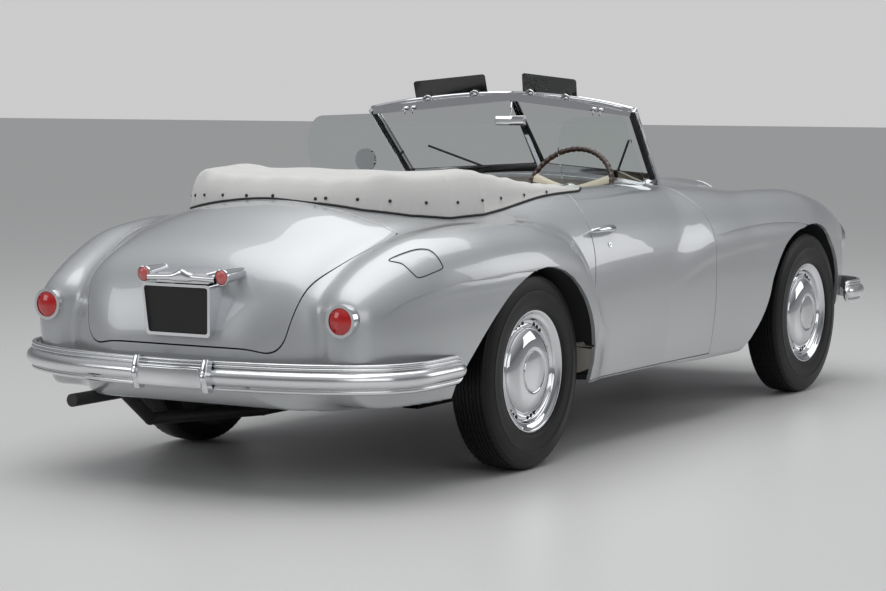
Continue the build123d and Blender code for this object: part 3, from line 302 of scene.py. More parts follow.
def hull_outlines(xs):
    """Left half of the hull's outline at each x, from the crown down to the sill."""
    t = table_at(HULL, xs, HULL_SMOOTH)
    crown = np.stack([np.zeros(len(xs)), t[:, 0]], 1)
    belt, shoulder, flank, waist, sill = [t[:, k:k + 2] for k in range(1, 11, 2)]
    rise = np.maximum(crown[:, 1] - belt[:, 1], 0.003)
    radius = (belt[:, 0] ** 2 + rise ** 2) / (2 * rise)
    half = np.arcsin(np.clip(belt[:, 0] / radius, -1, 1)) / 2
    midway = np.stack([radius * np.sin(half), crown[:, 1] - radius * (1 - np.cos(half))], 1)
    left = np.concatenate([arc3(crown, midway, belt, 24), arc3(belt, shoulder, flank, 24)[:, 1:],
                           arc3(flank, waist, sill, 16)[:, 1:]], 1)
    line = even(np.concatenate([left[:, :0:-1] * [-1, 1], left], 1), HULL_POINTS)
    spacing = np.linalg.norm(np.diff(line[:, 60:100], axis=1), axis=-1).mean()
    columns = np.transpose(line, (1, 0, 2)).reshape(HULL_POINTS, -1)
    smooth = gauss_rows(columns, OUTLINE_SMOOTH / (spacing + 1e-9))
    smooth = np.transpose(smooth.reshape(HULL_POINTS, len(xs), 2), (1, 0, 2))
    return smooth[:, HULL_POINTS // 2::2]


def wing_outlines(rows, xs):
    """Closed outline of the left wing at each x."""
    t = table_at(rows, xs, WING_SMOOTH)
    inner, crown, outer, waist, sill = [t[:, k:k + 2] for k in range(0, 10, 2)]
    foot = np.stack([inner[:, 0], sill[:, 1]], 1)
    return np.concatenate([arc3(inner, crown, outer, 22), arc3(outer, waist, sill, 14)[:, 1:],
                           foot[:, None]], 1)


def section_distance(outlines, y, z):
    """Signed distance inside each slice, for closed outlines."""
    out = np.empty((len(outlines), len(y), len(z)), np.float32)
    yy, zz = np.meshgrid(y, z, indexing="ij")
    q = np.stack([yy.ravel(), zz.ravel()], 1).astype(np.float32)
    for i, line in enumerate(outlines):
        out[i] = sd_polygon(line, q).reshape(len(y), len(z))
    return out


def body_field():
    """Signed field of the whole body on a grid, negative inside."""
    xs = np.arange(REAR_AXLE - 1.19, FRONT_AXLE + 0.80, STEP)
    ys = np.arange(0.5, 0.93 / STEP) * STEP
    zs = np.arange(0.24, 1.12, STEP)
    hull = hull_outlines(xs)
    inward = np.full(len(xs), -0.3)
    top = np.stack([inward, hull[:, 0, 1]], 1)
    foot = np.stack([inward, hull[:, -1, 1]], 1)
    field = section_distance(np.concatenate([top[:, None], hull, foot[:, None]], 1), ys, zs)
    x = xs[:, None, None]
    nose, tail = HULL[0][0] / 1000, HULL[-1][0] / 1000
    field = smax(field, np.maximum(x - nose, tail - x), HULL_END_SOFT)
    first_y = int(WING_INSIDE / STEP)
    for rows, soft in ((FRONT_WING, FRONT_WING_SOFT), (REAR_WING, REAR_WING_SOFT)):
        last, first = max(rows)[0] / 1000, min(rows)[0] / 1000
        near = np.where((xs > first - 0.15) & (xs < last + 0.15))[0]
        wing = section_distance(wing_outlines(rows, xs[near]), ys[first_y:], zs)
        x = xs[near][:, None, None]
        wing = smax(wing, np.maximum(x - last, first - x), WING_END_SOFT)
        around = field[near[0]:near[-1] + 1, first_y:]
        field[near[0]:near[-1] + 1, first_y:] = smin(around, wing, soft)
    return xs, np.concatenate([-ys[::-1], ys]), zs, np.concatenate([field[:, ::-1], field], 1)


def surface_nets(xs, ys, zs, field):
    """Points and quads of the zero surface of a field on a grid."""
    inside = field < 0
    shape = np.array(field.shape)
    total = np.zeros(tuple(shape - 1) + (3,), np.float32)
    count = np.zeros(tuple(shape - 1), np.float32)

    def corner(values, spot):
        """Values at the same corner of every cell."""
        i, j, k = spot
        return values[i:shape[0] - 1 + i, j:shape[1] - 1 + j, k:shape[2] - 1 + k]

    for spot in np.ndindex(2, 2, 2):
        for axis in range(3):
            if spot[axis]:
                continue
            other = list(spot)
            other[axis] = 1
            here, there = corner(field, spot), corner(field, other)
            cross = corner(inside, spot) != corner(inside, other)
            t = np.where(cross, here / np.where(cross, here - there, 1), 0)
            for d in range(3):
                total[..., d] += np.where(cross, t if d == axis else spot[d], 0)
            count += cross
    used = count > 0
    index = np.full(used.shape, -1, np.int64)
    index[used] = np.arange(used.sum())
    offset = total[used] / count[used][:, None]
    points = np.array([xs[0], ys[0], zs[0]]) + (np.argwhere(used) + offset) * STEP
    quads = []
    for axis in range(3):
        ahead = [int(d == axis) for d in range(3)]
        near = inside[tuple(slice(0, shape[d] - ahead[d]) for d in range(3))]
        far = inside[tuple(slice(ahead[d], shape[d]) for d in range(3))]
        edges = np.argwhere(near != far)
        u, v = (axis + 1) % 3, (axis + 2) % 3
        ok = (edges[:, u] > 0) & (edges[:, v] > 0)
        ok &= (edges[:, u] < shape[u] - 1) & (edges[:, v] < shape[v] - 1)
        edges = edges[ok]
        flip = near[tuple(edges.T)]
        ring = []
        for du, dv in ((-1, -1), (0, -1), (0, 0), (-1, 0)):
            cell = edges.copy()
            cell[:, u] += du
            cell[:, v] += dv
            ring.append(index[tuple(cell.T)])
        ring = np.stack(ring, 1)
        ring[~flip] = ring[~flip][:, ::-1]
        quads.append(ring)
    quads = np.concatenate(quads)
    return points, quads[(quads >= 0).all(1)]


def sampler(xs, ys, zs, field):
    """A function that gives the field's value and gradient at points."""
    origin = np.array([xs[0], ys[0], zs[0]])
    stack = np.stack([field] + list(np.gradient(field, STEP)), -1)
    limit = np.array(field.shape) - 2

    def at(points):
        g = (points - origin) / STEP
        i = np.clip(np.floor(g).astype(int), 0, limit)
        f = np.clip(g - i, 0, 1)[:, :, None]
        out = 0
        for a, b, c in np.ndindex(2, 2, 2):
            weight = ((f[:, 0] if a else 1 - f[:, 0]) * (f[:, 1] if b else 1 - f[:, 1])
                      * (f[:, 2] if c else 1 - f[:, 2]))
            out = out + weight * stack[i[:, 0] + a, i[:, 1] + b, i[:, 2] + c]
        return out[:, 0], out[:, 1:]
    return at


class Skin:
    """Triangles of a piece of the body with their points and normals."""

    def __init__(self, points, normals, faces):
        self.points, self.normals, self.faces = points, normals, faces

    def clip(self, s):
        """The part of the skin where s > 0."""
        s = np.where(np.abs(s) < 1e-5, 1e-5, s)
        faces = self.faces
        inside = s[faces] > 0
        count = inside.sum(1)
        keep = [faces[count == 3]]
        points, normals = [self.points], [self.normals]
        base = len(self.points)
        pairs = []

        def crossing(a, b):
            lo, hi = np.minimum(a, b), np.maximum(a, b)
            pairs.append(np.stack([lo, hi], 1))

        one = faces[count == 1]
        turn = inside[count == 1].argmax(1)
        one = one[np.arange(len(one))[:, None], (turn[:, None] + np.arange(3)) % 3]
        two = faces[count == 2]
        turn = (~inside[count == 2]).argmax(1)
        two = two[np.arange(len(two))[:, None], (turn[:, None] + np.arange(3)) % 3]
        crossing(one[:, 0], one[:, 1])
        crossing(one[:, 0], one[:, 2])
        crossing(two[:, 0], two[:, 1])
        crossing(two[:, 0], two[:, 2])
        sizes = [len(p) for p in pairs]
        unique, inverse = np.unique(np.concatenate(pairs), axis=0, return_inverse=True)
        inverse = inverse.ravel() + base
        parts = np.split(inverse, np.cumsum(sizes)[:-1])
        if len(unique):
            a, b = unique[:, 0], unique[:, 1]
            t = (s[a] / (s[a] - s[b]))[:, None]
            points.append(self.points[a] * (1 - t) + self.points[b] * t)
            normals.append(unit(self.normals[a] * (1 - t) + self.normals[b] * t))
        keep.append(np.stack([one[:, 0], parts[0], parts[1]], 1))
        keep.append(np.stack([parts[2], two[:, 1], two[:, 2]], 1))
        keep.append(np.stack([parts[2], two[:, 2], parts[3]], 1))
        return Skin(np.concatenate(points), np.concatenate(normals), np.concatenate(keep)).tidy()

    def tidy(self):
        used = np.unique(self.faces)
        renumber = np.full(len(self.points), -1)
        renumber[used] = np.arange(len(used))
        return Skin(self.points[used], self.normals[used], renumber[self.faces])

    def rim(self):
        """Directed edges along the open border."""
        e = np.concatenate([self.faces[:, [0, 1]], self.faces[:, [1, 2]], self.faces[:, [2, 0]]])
        key = set(map(tuple, e.tolist()))
        return np.array([pair for pair in e.tolist() if (pair[1], pair[0]) not in key])

    def lipped(self, depth, bevel=0.0012):
        """Points, normals and faces with the border folded inwards."""
        edges = self.rim()
        if len(edges) == 0:
            return self.points, self.normals, self.faces
        border = np.unique(edges)
        spot = {v: i for i, v in enumerate(border)}
        out = np.zeros((len(border), 3))
        for a, b in edges:
            along = self.points[b] - self.points[a]
            side = np.cross(along, self.normals[a])
            out[spot[a]] += side
            out[spot[b]] += side
        out = unit(out)
        n = self.normals[border]
        p = self.points[border]
        outer, deep = p + out * bevel - n * bevel, p + out * bevel - n * depth
        points = [self.points, p, outer, outer, deep]
        normals = [self.normals, n, unit(n + out), out, out]
        base = len(self.points)
        m = len(border)
        faces = [self.faces]
        a = np.array([spot[v] for v in edges[:, 0]])
        b = np.array([spot[v] for v in edges[:, 1]])
        for k in (0, 2):
            lo, hi = base + k * m, base + (k + 1) * m
            faces.append(np.stack([lo + b, lo + a, hi + a], 1))
            faces.append(np.stack([lo + b, hi + a, hi + b], 1))
        return np.concatenate(points), np.concatenate(normals), np.concatenate(faces)


# ---- materials --------------------------------------------------------------------------------
MIX_FACTOR, MIX_A, MIX_B, MIX_RESULT = 0, 6, 7, 2     # colour sockets of a mix node


def material(name, color, metallic=0.0, rough=0.5, coat=0.0, coat_rough=0.03, sheen=0.0,
             transmission=0.0, ior=1.45, bump=0.0, weave=0.0, scale=60.0, mottle=0.0,
             mottle_scale=8.0, rough_spread=0.0, stretch=(1, 1, 1)):
    """A procedural material: colour variation, roughness variation and bump from noise."""
    mat = bpy.data.materials.new(name)
    mat.use_nodes = True
    nodes, links = mat.node_tree.nodes, mat.node_tree.links
    shader = nodes["Principled BSDF"]
    for socket, value in (("Base Color", (*color, 1)), ("Metallic", metallic),
                          ("Roughness", rough), ("Coat Weight", coat),
                          ("Coat Roughness", coat_rough), ("Sheen Weight", sheen),
                          ("Transmission Weight", transmission), ("IOR", ior)):
        shader.inputs[socket].default_value = value
    where = nodes.new("ShaderNodeTexCoord")
    mapping = nodes.new("ShaderNodeMapping")
    mapping.inputs["Scale"].default_value = stretch
    links.new(where.outputs["Object"], mapping.inputs["Vector"])

    def noise(noise_scale, detail):
        node = nodes.new("ShaderNodeTexNoise")
        node.inputs["Scale"].default_value = noise_scale
        node.inputs["Detail"].default_value = detail
        links.new(mapping.outputs["Vector"], node.inputs["Vector"])
        return node.outputs["Fac"]

    fine, broad = noise(scale, 3.0), noise(mottle_scale, 4.0)
    if mottle:
        mix = nodes.new("ShaderNodeMix")
        mix.data_type = "RGBA"
        mix.inputs[MIX_A].default_value = (*[c * (1 - mottle) for c in color], 1)
        mix.inputs[MIX_B].default_value = (*[min(1, c * (1 + mottle)) for c in color], 1)
        links.new(broad, mix.inputs[MIX_FACTOR])
        links.new(mix.outputs[MIX_RESULT], shader.inputs["Base Color"])
    if rough_spread:
        spread = nodes.new("ShaderNodeMapRange")
        spread.inputs["To Min"].default_value = max(0.0, rough - rough_spread)
        spread.inputs["To Max"].default_value = min(1.0, rough + rough_spread)
        links.new(broad, spread.inputs["Value"])
        links.new(spread.outputs["Result"], shader.inputs["Roughness"])
    height = fine
    if weave:
        height = None
        for axis in ("X", "Y", "Z"):
            wave = nodes.new("ShaderNodeTexWave")
            wave.bands_direction = axis
            wave.inputs["Scale"].default_value = scale
            wave.inputs["Distortion"].default_value = 0.6
            links.new(mapping.outputs["Vector"], wave.inputs["Vector"])
            if height is None:
                height = wave.outputs["Fac"]
                continue
            product = nodes.new("ShaderNodeMath")
            product.operation = "MULTIPLY"
            links.new(height, product.inputs[0])
            links.new(wave.outputs["Fac"], product.inputs[1])
            height = product.outputs[0]
    if bump or weave:
        relief = nodes.new("ShaderNodeBump")
        relief.inputs["Distance"].default_value = 0.001
        relief.inputs["Strength"].default_value = bump or weave
        links.new(height, relief.inputs["Height"])
        links.new(relief.outputs["Normal"], shader.inputs["Normal"])
    return mat


paint = material("silver_paint", (0.45, 0.465, 0.48), metallic=0.55, rough=0.36, coat=1.0,
                 coat_rough=0.02, mottle=0.03, mottle_scale=1200, rough_spread=0.04)
chrome = material("chrome", (0.66, 0.67, 0.69), metallic=1.0, rough=0.05, mottle=0.03,
                  rough_spread=0.03)
polished = material("polished_aluminium", (0.70, 0.71, 0.72), metallic=1.0, rough=0.20,
                    mottle=0.04, rough_spread=0.05, bump=0.03, scale=300)
rubber = material("tyre_rubber", (0.0055, 0.0055, 0.006), rough=0.42, ior=1.30, coat=0.05,
                  coat_rough=0.3, bump=0.10, scale=500, mottle=0.25, rough_spread=0.08)
# Black rubber of the seals, mouldings and wipers; in the fuel flap's gap, the scoop's mouth and
# the keyholes the same black is painted shade.
rubber_black_and_shade = material("black_rubber_and_painted_shade", (0.015, 0.015, 0.016), rough=0.6, bump=0.1, scale=300,
                      mottle=0.2)
# Black of the underframe and bumper arms; on the panels' inner walls and in the wheels' holes the
# same black is painted shade.
flat_black_and_shade = material("underbody_black_and_painted_shade", (0.010, 0.010, 0.011), rough=0.8, bump=0.3, scale=150,
                       mottle=0.3, rough_spread=0.1)
dark_metal = material("dark_metal", (0.05, 0.05, 0.052), metallic=0.6, rough=0.5, bump=0.2,
                      scale=120, mottle=0.25, rough_spread=0.12)
canvas = material("canvas", (0.60, 0.60, 0.585), rough=0.92, sheen=0.25, weave=0.35, scale=160,
                  mottle=0.06, mottle_scale=5)
glass = material("clear_glass", (0.93, 0.96, 0.95), rough=0.0, transmission=1.0, ior=1.02,
                 mottle=0.01)
smoked = material("smoked_acrylic", (0.012, 0.013, 0.013), rough=0.08, coat=0.6, mottle=0.2)
red_glass = material("red_lens", (0.45, 0.004, 0.006), rough=0.10, coat=1.0, mottle=0.25,
                     mottle_scale=60, bump=0.25, scale=120)
pale_red = material("reflector_red", (0.50, 0.10, 0.09), rough=0.12, coat=1.0, mottle=0.2,
                    mottle_scale=90, bump=0.2, scale=260)
lamp_glass = material("lamp_glass", (0.75, 0.78, 0.80), metallic=0.5, rough=0.12, coat=1.0,
                      mottle=0.12, mottle_scale=40)
plate_black = material("plate_black", (0.008, 0.008, 0.009), rough=0.45, bump=0.05, scale=300,
                       mottle=0.15)
leather = material("leather", (0.33, 0.31, 0.275), rough=0.5, coat=0.1, coat_rough=0.3, bump=0.25,
                   scale=260, mottle=0.10, mottle_scale=14, rough_spread=0.1)
carpet = material("carpet", (0.055, 0.055, 0.055), rough=0.95, sheen=0.3, bump=0.9, scale=600,
                  mottle=0.3, mottle_scale=50)
dash_paint = material("dash_paint", (0.50, 0.505, 0.50), metallic=0.4, rough=0.3, coat=0.8,
                      mottle=0.02, mottle_scale=900)
wood = material("steering_rim", (0.045, 0.016, 0.008), rough=0.28, coat=0.7, mottle=0.5,
                mottle_scale=30, stretch=(1, 1, 6))
cream = material("cream_plastic", (0.68, 0.62, 0.48), rough=0.35, coat=0.4, mottle=0.05)
mirror_glass = material("mirror_glass", (0.85, 0.87, 0.88), metallic=1.0, rough=0.02, mottle=0.01)
snap_dark = material("dark_stud", (0.04, 0.038, 0.035), metallic=0.8, rough=0.35, mottle=0.2)


# ---- the body's skin --------------------------------------------------------------------------
HINGE = (0.225, 0.863)                  # of the doors, in plan
DOOR_EDGE = ((-0.930, 0.850, 0.330), (-0.862, 0.843, 0.640), (-0.738, 0.635, 1.010))
DOOR_LOW = 0.290


def door_gap(p):
    """How far a point lies inside the door's outline (positive inside), left or right."""
    x, y, z = p[:, 0], np.abs(p[:, 1]), p[:, 2]
    reach = np.hypot(HINGE[0] - x, HINGE[1] - y)
    edge = np.array([(np.hypot(HINGE[0] - ex, HINGE[1] - ey), ez) for ex, ey, ez in DOOR_EDGE])
    outline = through(*edge, 24)
    outline = np.concatenate([rounded([(0, DOOR_LOW), (edge[0][0], DOOR_LOW), tuple(edge[0])],
                                      [0, 0.04, 0])[1:], outline[1:],
                              [(edge[2][0], 1.3), (-1, 1.3), (-1, DOOR_LOW)]])
    s = -sd_polygon(outline, np.stack([reach, z], 1))
    s = np.minimum(s, HINGE[0] - x)
    return np.where(y > 0.5, s, -1)


BONNET = [(0.517, -0.443), (1.933, -0.208), (1.933, 0.208), (0.517, 0.443)]


def bonnet_gap(p):
    """Positive inside the bonnet's outline, in plan."""
    outline = rounded(BONNET, 0.05, 10)
    s = -sd_polygon(outline, p[:, :2])
    return np.where(p[:, 2] > 0.6, s, -1)


BOOT_ORIGIN = np.array([REAR_AXLE - 0.85, 0, 0.8])
BOOT_NORMAL = unit(np.array([-0.72, 0, 0.69]))
BOOT_UP = np.cross(np.array([0, 1, 0]), BOOT_NORMAL)
BOOT_TOP = REAR_AXLE - 0.552
BOOT_LID = [(-0.418, -0.382), (0.418, -0.382), (0.612, 0.382), (-0.612, 0.382)]


def boot_gap(p):
    """Positive inside the boot lid's outline, seen square to the lid."""
    d = p - BOOT_ORIGIN
    q = np.stack([d[:, 1], d @ BOOT_UP], 1)
    outline = rounded(BOOT_LID, [0.10, 0.10, 0.18, 0.18], 14)
    s = -sd_polygon(outline, q)
    s = np.minimum(s, BOOT_TOP + 0.003 - p[:, 0])
    return np.where((p[:, 0] < -1.7) & (p[:, 2] > 0.44), s, -1)


def through(p, q, r, n=14):
    """The arc through three points of a 2-D outline."""
    return arc3(*[np.array([point]) for point in (p, q, r)], n)[0]


def arch_gap(p):
    """Positive inside a wheel arch opening, seen from the side."""
    fx, top = FRONT_AXLE, AXLE_HEIGHT + 0.407
    front = np.concatenate([
        through((fx + 0.47, 0.15), (fx + 0.30, top - 0.082), (fx - 0.11, top)),
        through((fx - 0.11, top), (fx - 0.39, top - 0.10), (fx - 0.50, 0.56))[1:],
        through((fx - 0.50, 0.56), (fx - 0.60, 0.38), (fx - 0.83, 0.26))[1:],
        [(fx - 0.83, 0.1), (fx + 0.47, 0.1)]])
    rx, top = REAR_AXLE, AXLE_HEIGHT + 0.390
    rear = np.concatenate([
        through((rx + 0.41, 0.15), (rx + 0.33, top - 0.13), (rx - 0.06, top)),
        through((rx - 0.06, top), (rx - 0.33, top - 0.12), (rx - 0.56, 0.38))[1:],
        [(rx - 0.56, 0.1), (rx + 0.41, 0.1)]])
    side_view = p[:, [0, 2]]
    s = np.maximum(-sd_polygon(front, side_view), -sd_polygon(rear, side_view))
    return np.where(np.abs(p[:, 1]) > 0.55, s, -1)


COCKPIT = [(0.060, -0.575), (0.060, 0.575), (-1.25, 0.575), (-1.25, -0.575)]


def cockpit_gap(p):
    """Positive inside the cockpit's opening, in plan."""
    outline = rounded(COCKPIT, [0.10, 0.10, 0.02, 0.02], 10)
    s = -sd_polygon(outline, p[:, :2])
    return np.where(p[:, 2] > 0.7, s, -1)


HEADLAMP = (0.600, 0.680, 0.0985)       # y and z of the left hole's middle, its radius
TAIL_LAMP = (0.644, 0.644, 0.0585)
INLET = [(-0.105, 0.455), (0.105, 0.455), (0.105, 0.670), (-0.105, 0.670)]
NOSE, TAIL = FRONT_AXLE + 0.5, REAR_AXLE - 0.8


def headlamp_gap(p):
    """Positive inside the round holes of the headlamps."""
    y, z, radius = HEADLAMP
    s = radius - np.hypot(np.abs(p[:, 1]) - y, p[:, 2] - z)
    return np.where(p[:, 0] > NOSE, s, -1)


def tail_lamp_gap(p):
    """Positive inside the round holes of the tail lamps."""
    y, z, radius = TAIL_LAMP
    s = radius - np.hypot(np.abs(p[:, 1]) - y, p[:, 2] - z)
    return np.where(p[:, 0] < TAIL, s, -1)


def inlet_gap(p):
    """Positive inside the air inlet of the nose."""
    outline = rounded(INLET, 0.05)
    s = -sd_polygon(outline, p[:, 1:])
    return np.where(p[:, 0] > NOSE, s, -1)


xs, ys, zs, field = body_field()
field_at = sampler(xs, ys, zs, field)
points, quads = surface_nets(xs, ys, zs, field)
for _ in range(2):
    value, grad = field_at(points)
    points = points - grad * (value / np.maximum((grad ** 2).sum(1), 1e-6))[:, None]
normals = unit(field_at(points)[1])
faces = np.concatenate([quads[:, [0, 1, 2]], quads[:, [0, 2, 3]]])
skin = Skin(points, normals, faces)


def inside(piece, gap):
    """The part of a piece inside an outline, half a seam away from it."""
    return piece.clip(gap(piece.points) - SEAM / 2)


def outside(piece, gap, margin=SEAM / 2):
    """The part of a piece outside an outline."""
    return piece.clip(-gap(piece.points) - margin)


BODY_SPLIT = -0.075                     # between the front and the rear body
WALL_DEPTH = 0.009                      # of the panels' inner walls below the skin
BELLY_FRONT = -1.93                     # the tail is closed below behind this place


def belly_field(p):
    """Positive where the skin stays: the body is open below, in front of the tail."""
    outward = unit(field_at(p)[1])
    return np.maximum(outward[:, 2] + 0.72, 12 * (BELLY_FRONT - p[:, 0]))


CREASE_DEPTH, CREASE_FADE = 0.0085, 0.050
REAR_CREASE = np.array([(-2.335, 0.641), (-2.232, 0.693), (-2.09, 0.729), (-1.873, 0.754),
                        (-1.657, 0.757), (-1.548, 0.765), (-1.36, 0.759)])
FRONT_CREASE = np.array([(0.18, 0.792), (0.469, 0.815), (0.82, 0.824), (1.182, 0.81),
                         (1.413, 0.77)])


def ramp(x, start, end):
    """Rises smoothly from 0 at `start` to 1 at `end`."""
    t = np.clip((x - start) / (end - start), 0, 1)
    return t * t * (3 - 2 * t)


def creased(piece):
    """The parts above and below a wing's pressed line; the lower one stands further in."""
    rear = piece.points[:, 0].mean() < 0
    line = REAR_CREASE if rear else FRONT_CREASE

    def crease_height(x):
        return pchip(line[:, 0], line[:, 1:], np.clip(x, line[0, 0], line[-1, 0]))[:, 0]

    above = piece.points[:, 2] - crease_height(piece.points[:, 0])
    upper, lower = piece.clip(above), piece.clip(-above)
    x, y, z = lower.points[:, 0], np.abs(lower.points[:, 1]), lower.points[:, 2]
    run = (ramp(x, -2.36, -2.22) * ramp(-x, 1.28, 1.34) if rear
           else ramp(x, 0.19, 0.40) * ramp(-x, -1.50, -1.42))
    depth = (CREASE_DEPTH * run * ramp(y, 0.60, 0.68)
             * np.exp(-np.maximum(crease_height(x) - z, 0) / CREASE_FADE))
    lower.points = lower.points - lower.normals * depth[:, None]
    tilt = np.zeros_like(lower.normals)
    tilt[:, 2] = depth / CREASE_FADE
    lower.normals = unit(lower.normals + tilt)
    return [upper, lower]


def build_skin():
    """The body's skin cut into its panels, by the names of their CAD nodes."""
    body = skin.clip(belly_field(skin.points))
    for gap in (arch_gap, cockpit_gap, headlamp_gap, tail_lamp_gap, inlet_gap):
        body = outside(body, gap, 0)
    pieces = {}
    doors = inside(body, door_gap)
    pieces["door_left"] = doors.clip(doors.points[:, 1])
    pieces["door_right"] = doors.clip(-doors.points[:, 1])
    body = outside(body, door_gap)
    pieces["bonnet"] = inside(body, bonnet_gap)
    body = outside(body, bonnet_gap)
    pieces["boot_lid"] = inside(body, boot_gap)
    body = outside(body, boot_gap)
    pieces["front_body"] = body.clip(body.points[:, 0] - BODY_SPLIT)
    pieces["rear_body"] = body.clip(BODY_SPLIT - body.points[:, 0])
    return pieces


BODY_OF = {"door_left": "left_door", "door_right": "right_door", "bonnet": "bonnet",
           "boot_lid": "boot", "front_body": "car", "rear_body": "car"}


def cad_skin(mesh):
    """A mesh of the frame as a Skin about mid-wheelbase, its normals left plain."""
    mesh.calc_loop_triangles()
    points = np.array([v.co[:] for v in mesh.vertices]) - [SHIFT, 0, 0]
    faces = np.array([t.vertices[:] for t in mesh.loop_triangles])
    return Skin(points, np.tile([0, 0, 1.0], (len(points), 1)), faces)


def trimmed_to_lid(mesh):
    """The lid's inner walls cut to the outline of the lid."""
    walls = cad_skin(mesh)
    walls = walls.clip(boot_gap(walls.points) - 0.006)
    trimmed = bpy.data.meshes.new("lid_walls")
    trimmed.from_pydata((walls.points + [SHIFT, 0, 0]).tolist(), [], walls.faces.tolist())
    trimmed.update()
    return trimmed


def inner_structure(node):
    """The CAD panel's walls and hollows, drawn in below the smooth skin."""
    mesh = NODES[node].data.copy()
    places = np.zeros(len(mesh.vertices) * 3)
    mesh.vertices.foreach_get("co", places)
    p = places.reshape(-1, 3) - [SHIFT, 0, 0]
    for _ in range(5):
        value, grad = field_at(p)
        high = np.where(value > -WALL_DEPTH, value + WALL_DEPTH, 0)
        p = p - grad * (high / np.maximum((grad ** 2).sum(1), 0.05))[:, None]
    mesh.vertices.foreach_set("co", (p + [SHIFT, 0, 0]).ravel())
    if node == "boot_lid":
        mesh = trimmed_to_lid(mesh)
    obj = bpy.data.objects.new(node + "_walls", mesh)
    bpy.context.scene.collection.objects.link(obj)
    # Outside the cabin the walls are black: painted shade of the panel gaps and hollows, whose
    # own colour is the body's. Inside the cabin they are leather.
    mesh.materials.clear()
    mesh.materials.append(flat_black_and_shade)
    mesh.materials.append(leather)
    middles = np.zeros(len(mesh.polygons) * 3)
    mesh.polygons.foreach_get("center", middles)
    x, y, z = (middles.reshape(-1, 3) - [SHIFT, 0, 0]).T
    y = np.abs(y)
    wide = 0.80 if node.startswith("door") else 0.615
    cabin = (x > -1.24) & (x < 0.50) & (y < wide) & (z > 0.29)
    if node == "rear_body":
        cabin &= (x > -0.86) | (y < 0.475) | (z > 0.90)
    mesh.polygons.foreach_set("material_index", cabin.astype(int))
    mesh.update()
    add(obj, BODY_OF[node], "paint", node)


def joined(parts):
    """Several lists of points, normals and faces as one."""
    start = np.cumsum([0] + [len(part[0]) for part in parts])
    return (np.concatenate([part[0] for part in parts]),
            np.concatenate([part[1] for part in parts]),
            np.concatenate([part[2] + first for part, first in zip(parts, start)]))


def add(obj, body, slot, *replaced):
    """A finished piece: the body it rides on and what it stands for; its material slot is not
    used.
    """
    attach(obj, body)
    if replaced:
        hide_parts(*replaced)


for node, piece in build_skin().items():
    split = creased(piece) if node in ("front_body", "rear_body") else [piece]
    points, normals, faces = joined([part.lipped(0.016) for part in split])
    add(new_object(node + "_skin", points, faces, paint, normals), BODY_OF[node], "paint", node)
    inner_structure(node)


# ---- shared builders --------------------------------------------------------------------------
def surface_height(x, y, start=1.02):
    """Height of the body's skin over points of the plan, searched from a height near it."""
    z = np.full(len(x), start)
    for _ in range(8):
        value, grad = field_at(np.stack([x, y, z], 1))
        z = z - np.clip(value / np.maximum(grad[:, 2], 0.15), -0.05, 0.05)
    return z


def grid_faces(rows, columns, wrap=False):
    """Quads between the rows of a grid of points; `wrap` closes each row."""
    i, j = np.meshgrid(np.arange(rows - 1), np.arange(columns if wrap else columns - 1),
                       indexing="ij")
    a = i * columns + j
    b = i * columns + (j + 1) % columns
    return np.stack([a, b, b + columns, a + columns], -1).reshape(-1, 4)


def lathe(profile, n=96):
    """Points and faces of a profile (radius, outwards) turned about Y."""
    profile = np.asarray(profile, float)
    turn = np.arange(n) * 2 * pi / n
    points = np.stack([profile[:, :1] * np.cos(turn), np.repeat(profile[:, 1:], n, 1),
                       profile[:, :1] * np.sin(turn)], -1).reshape(-1, 3)
    return points, grid_faces(len(profile), n, wrap=True)


def tube(path, radius, n=10, closed=False):
    """Points and faces of a round bar along a path; radius may change along it."""
    path = np.asarray(path, float)
    radius = np.broadcast_to(np.asarray(radius, float), len(path))
    if closed:
        along = unit(np.roll(path, -1, 0) - np.roll(path, 1, 0))
    else:
        along = unit(np.gradient(path, axis=0))
    side = np.cross(along, [0, 0, 1.0])
    weak = np.linalg.norm(side, axis=1) < 0.1
    side[weak] = np.cross(along[weak], [0, 1.0, 0])
    side = unit(side)
    up = np.cross(side, along)
    turn = np.arange(n) * 2 * pi / n
    ring = (side[:, None] * np.cos(turn)[:, None] + up[:, None] * np.sin(turn)[:, None])
    points = (path[:, None] + ring * radius[:, None, None]).reshape(-1, 3)
    faces = grid_faces(len(path), n, wrap=True).tolist()
    if closed:
        last = (len(path) - 1) * n
        faces += [(last + j, last + (j + 1) % n, (j + 1) % n, j) for j in range(n)]
    else:
        faces.append(tuple(range(n - 1, -1, -1)))
        faces.append(tuple((len(path) - 1) * n + j for j in range(n)))
    return points, faces


def merged(parts):
    """Several (points, faces) as one."""
    points, faces, start = [], [], 0
    for part_points, part_faces in parts:
        points.append(np.asarray(part_points, float))
        faces += [tuple(int(v) + start for v in face) for face in part_faces]
        start += len(part_points)
    return np.concatenate(points), faces


def block(center, size, bevel, turn=None):
    """Points and faces of a bevelled box."""
    mesh = bmesh.new()
    bmesh.ops.create_cube(mesh, size=1)
    bmesh.ops.scale(mesh, vec=size, verts=mesh.verts)
    bmesh.ops.bevel(mesh, geom=mesh.edges[:] + mesh.verts[:], offset=bevel, segments=3,
                    affect="EDGES", profile=0.5)
    if turn is not None:
        bmesh.ops.transform(mesh, matrix=turn.to_4x4(), verts=mesh.verts)
    mesh.verts.ensure_lookup_table()
    points = np.array([v.co[:] for v in mesh.verts]) + np.asarray(center)
    faces = [tuple(v.index for v in face.verts) for face in mesh.faces]
    mesh.free()
    return points, faces


def flat_shade_angle(obj, degrees):
    """Smooth shading with edges sharper than the angle kept."""
    obj.data.shade_smooth()
    obj.data.set_sharp_from_angle(angle=radians(degrees))
    return obj


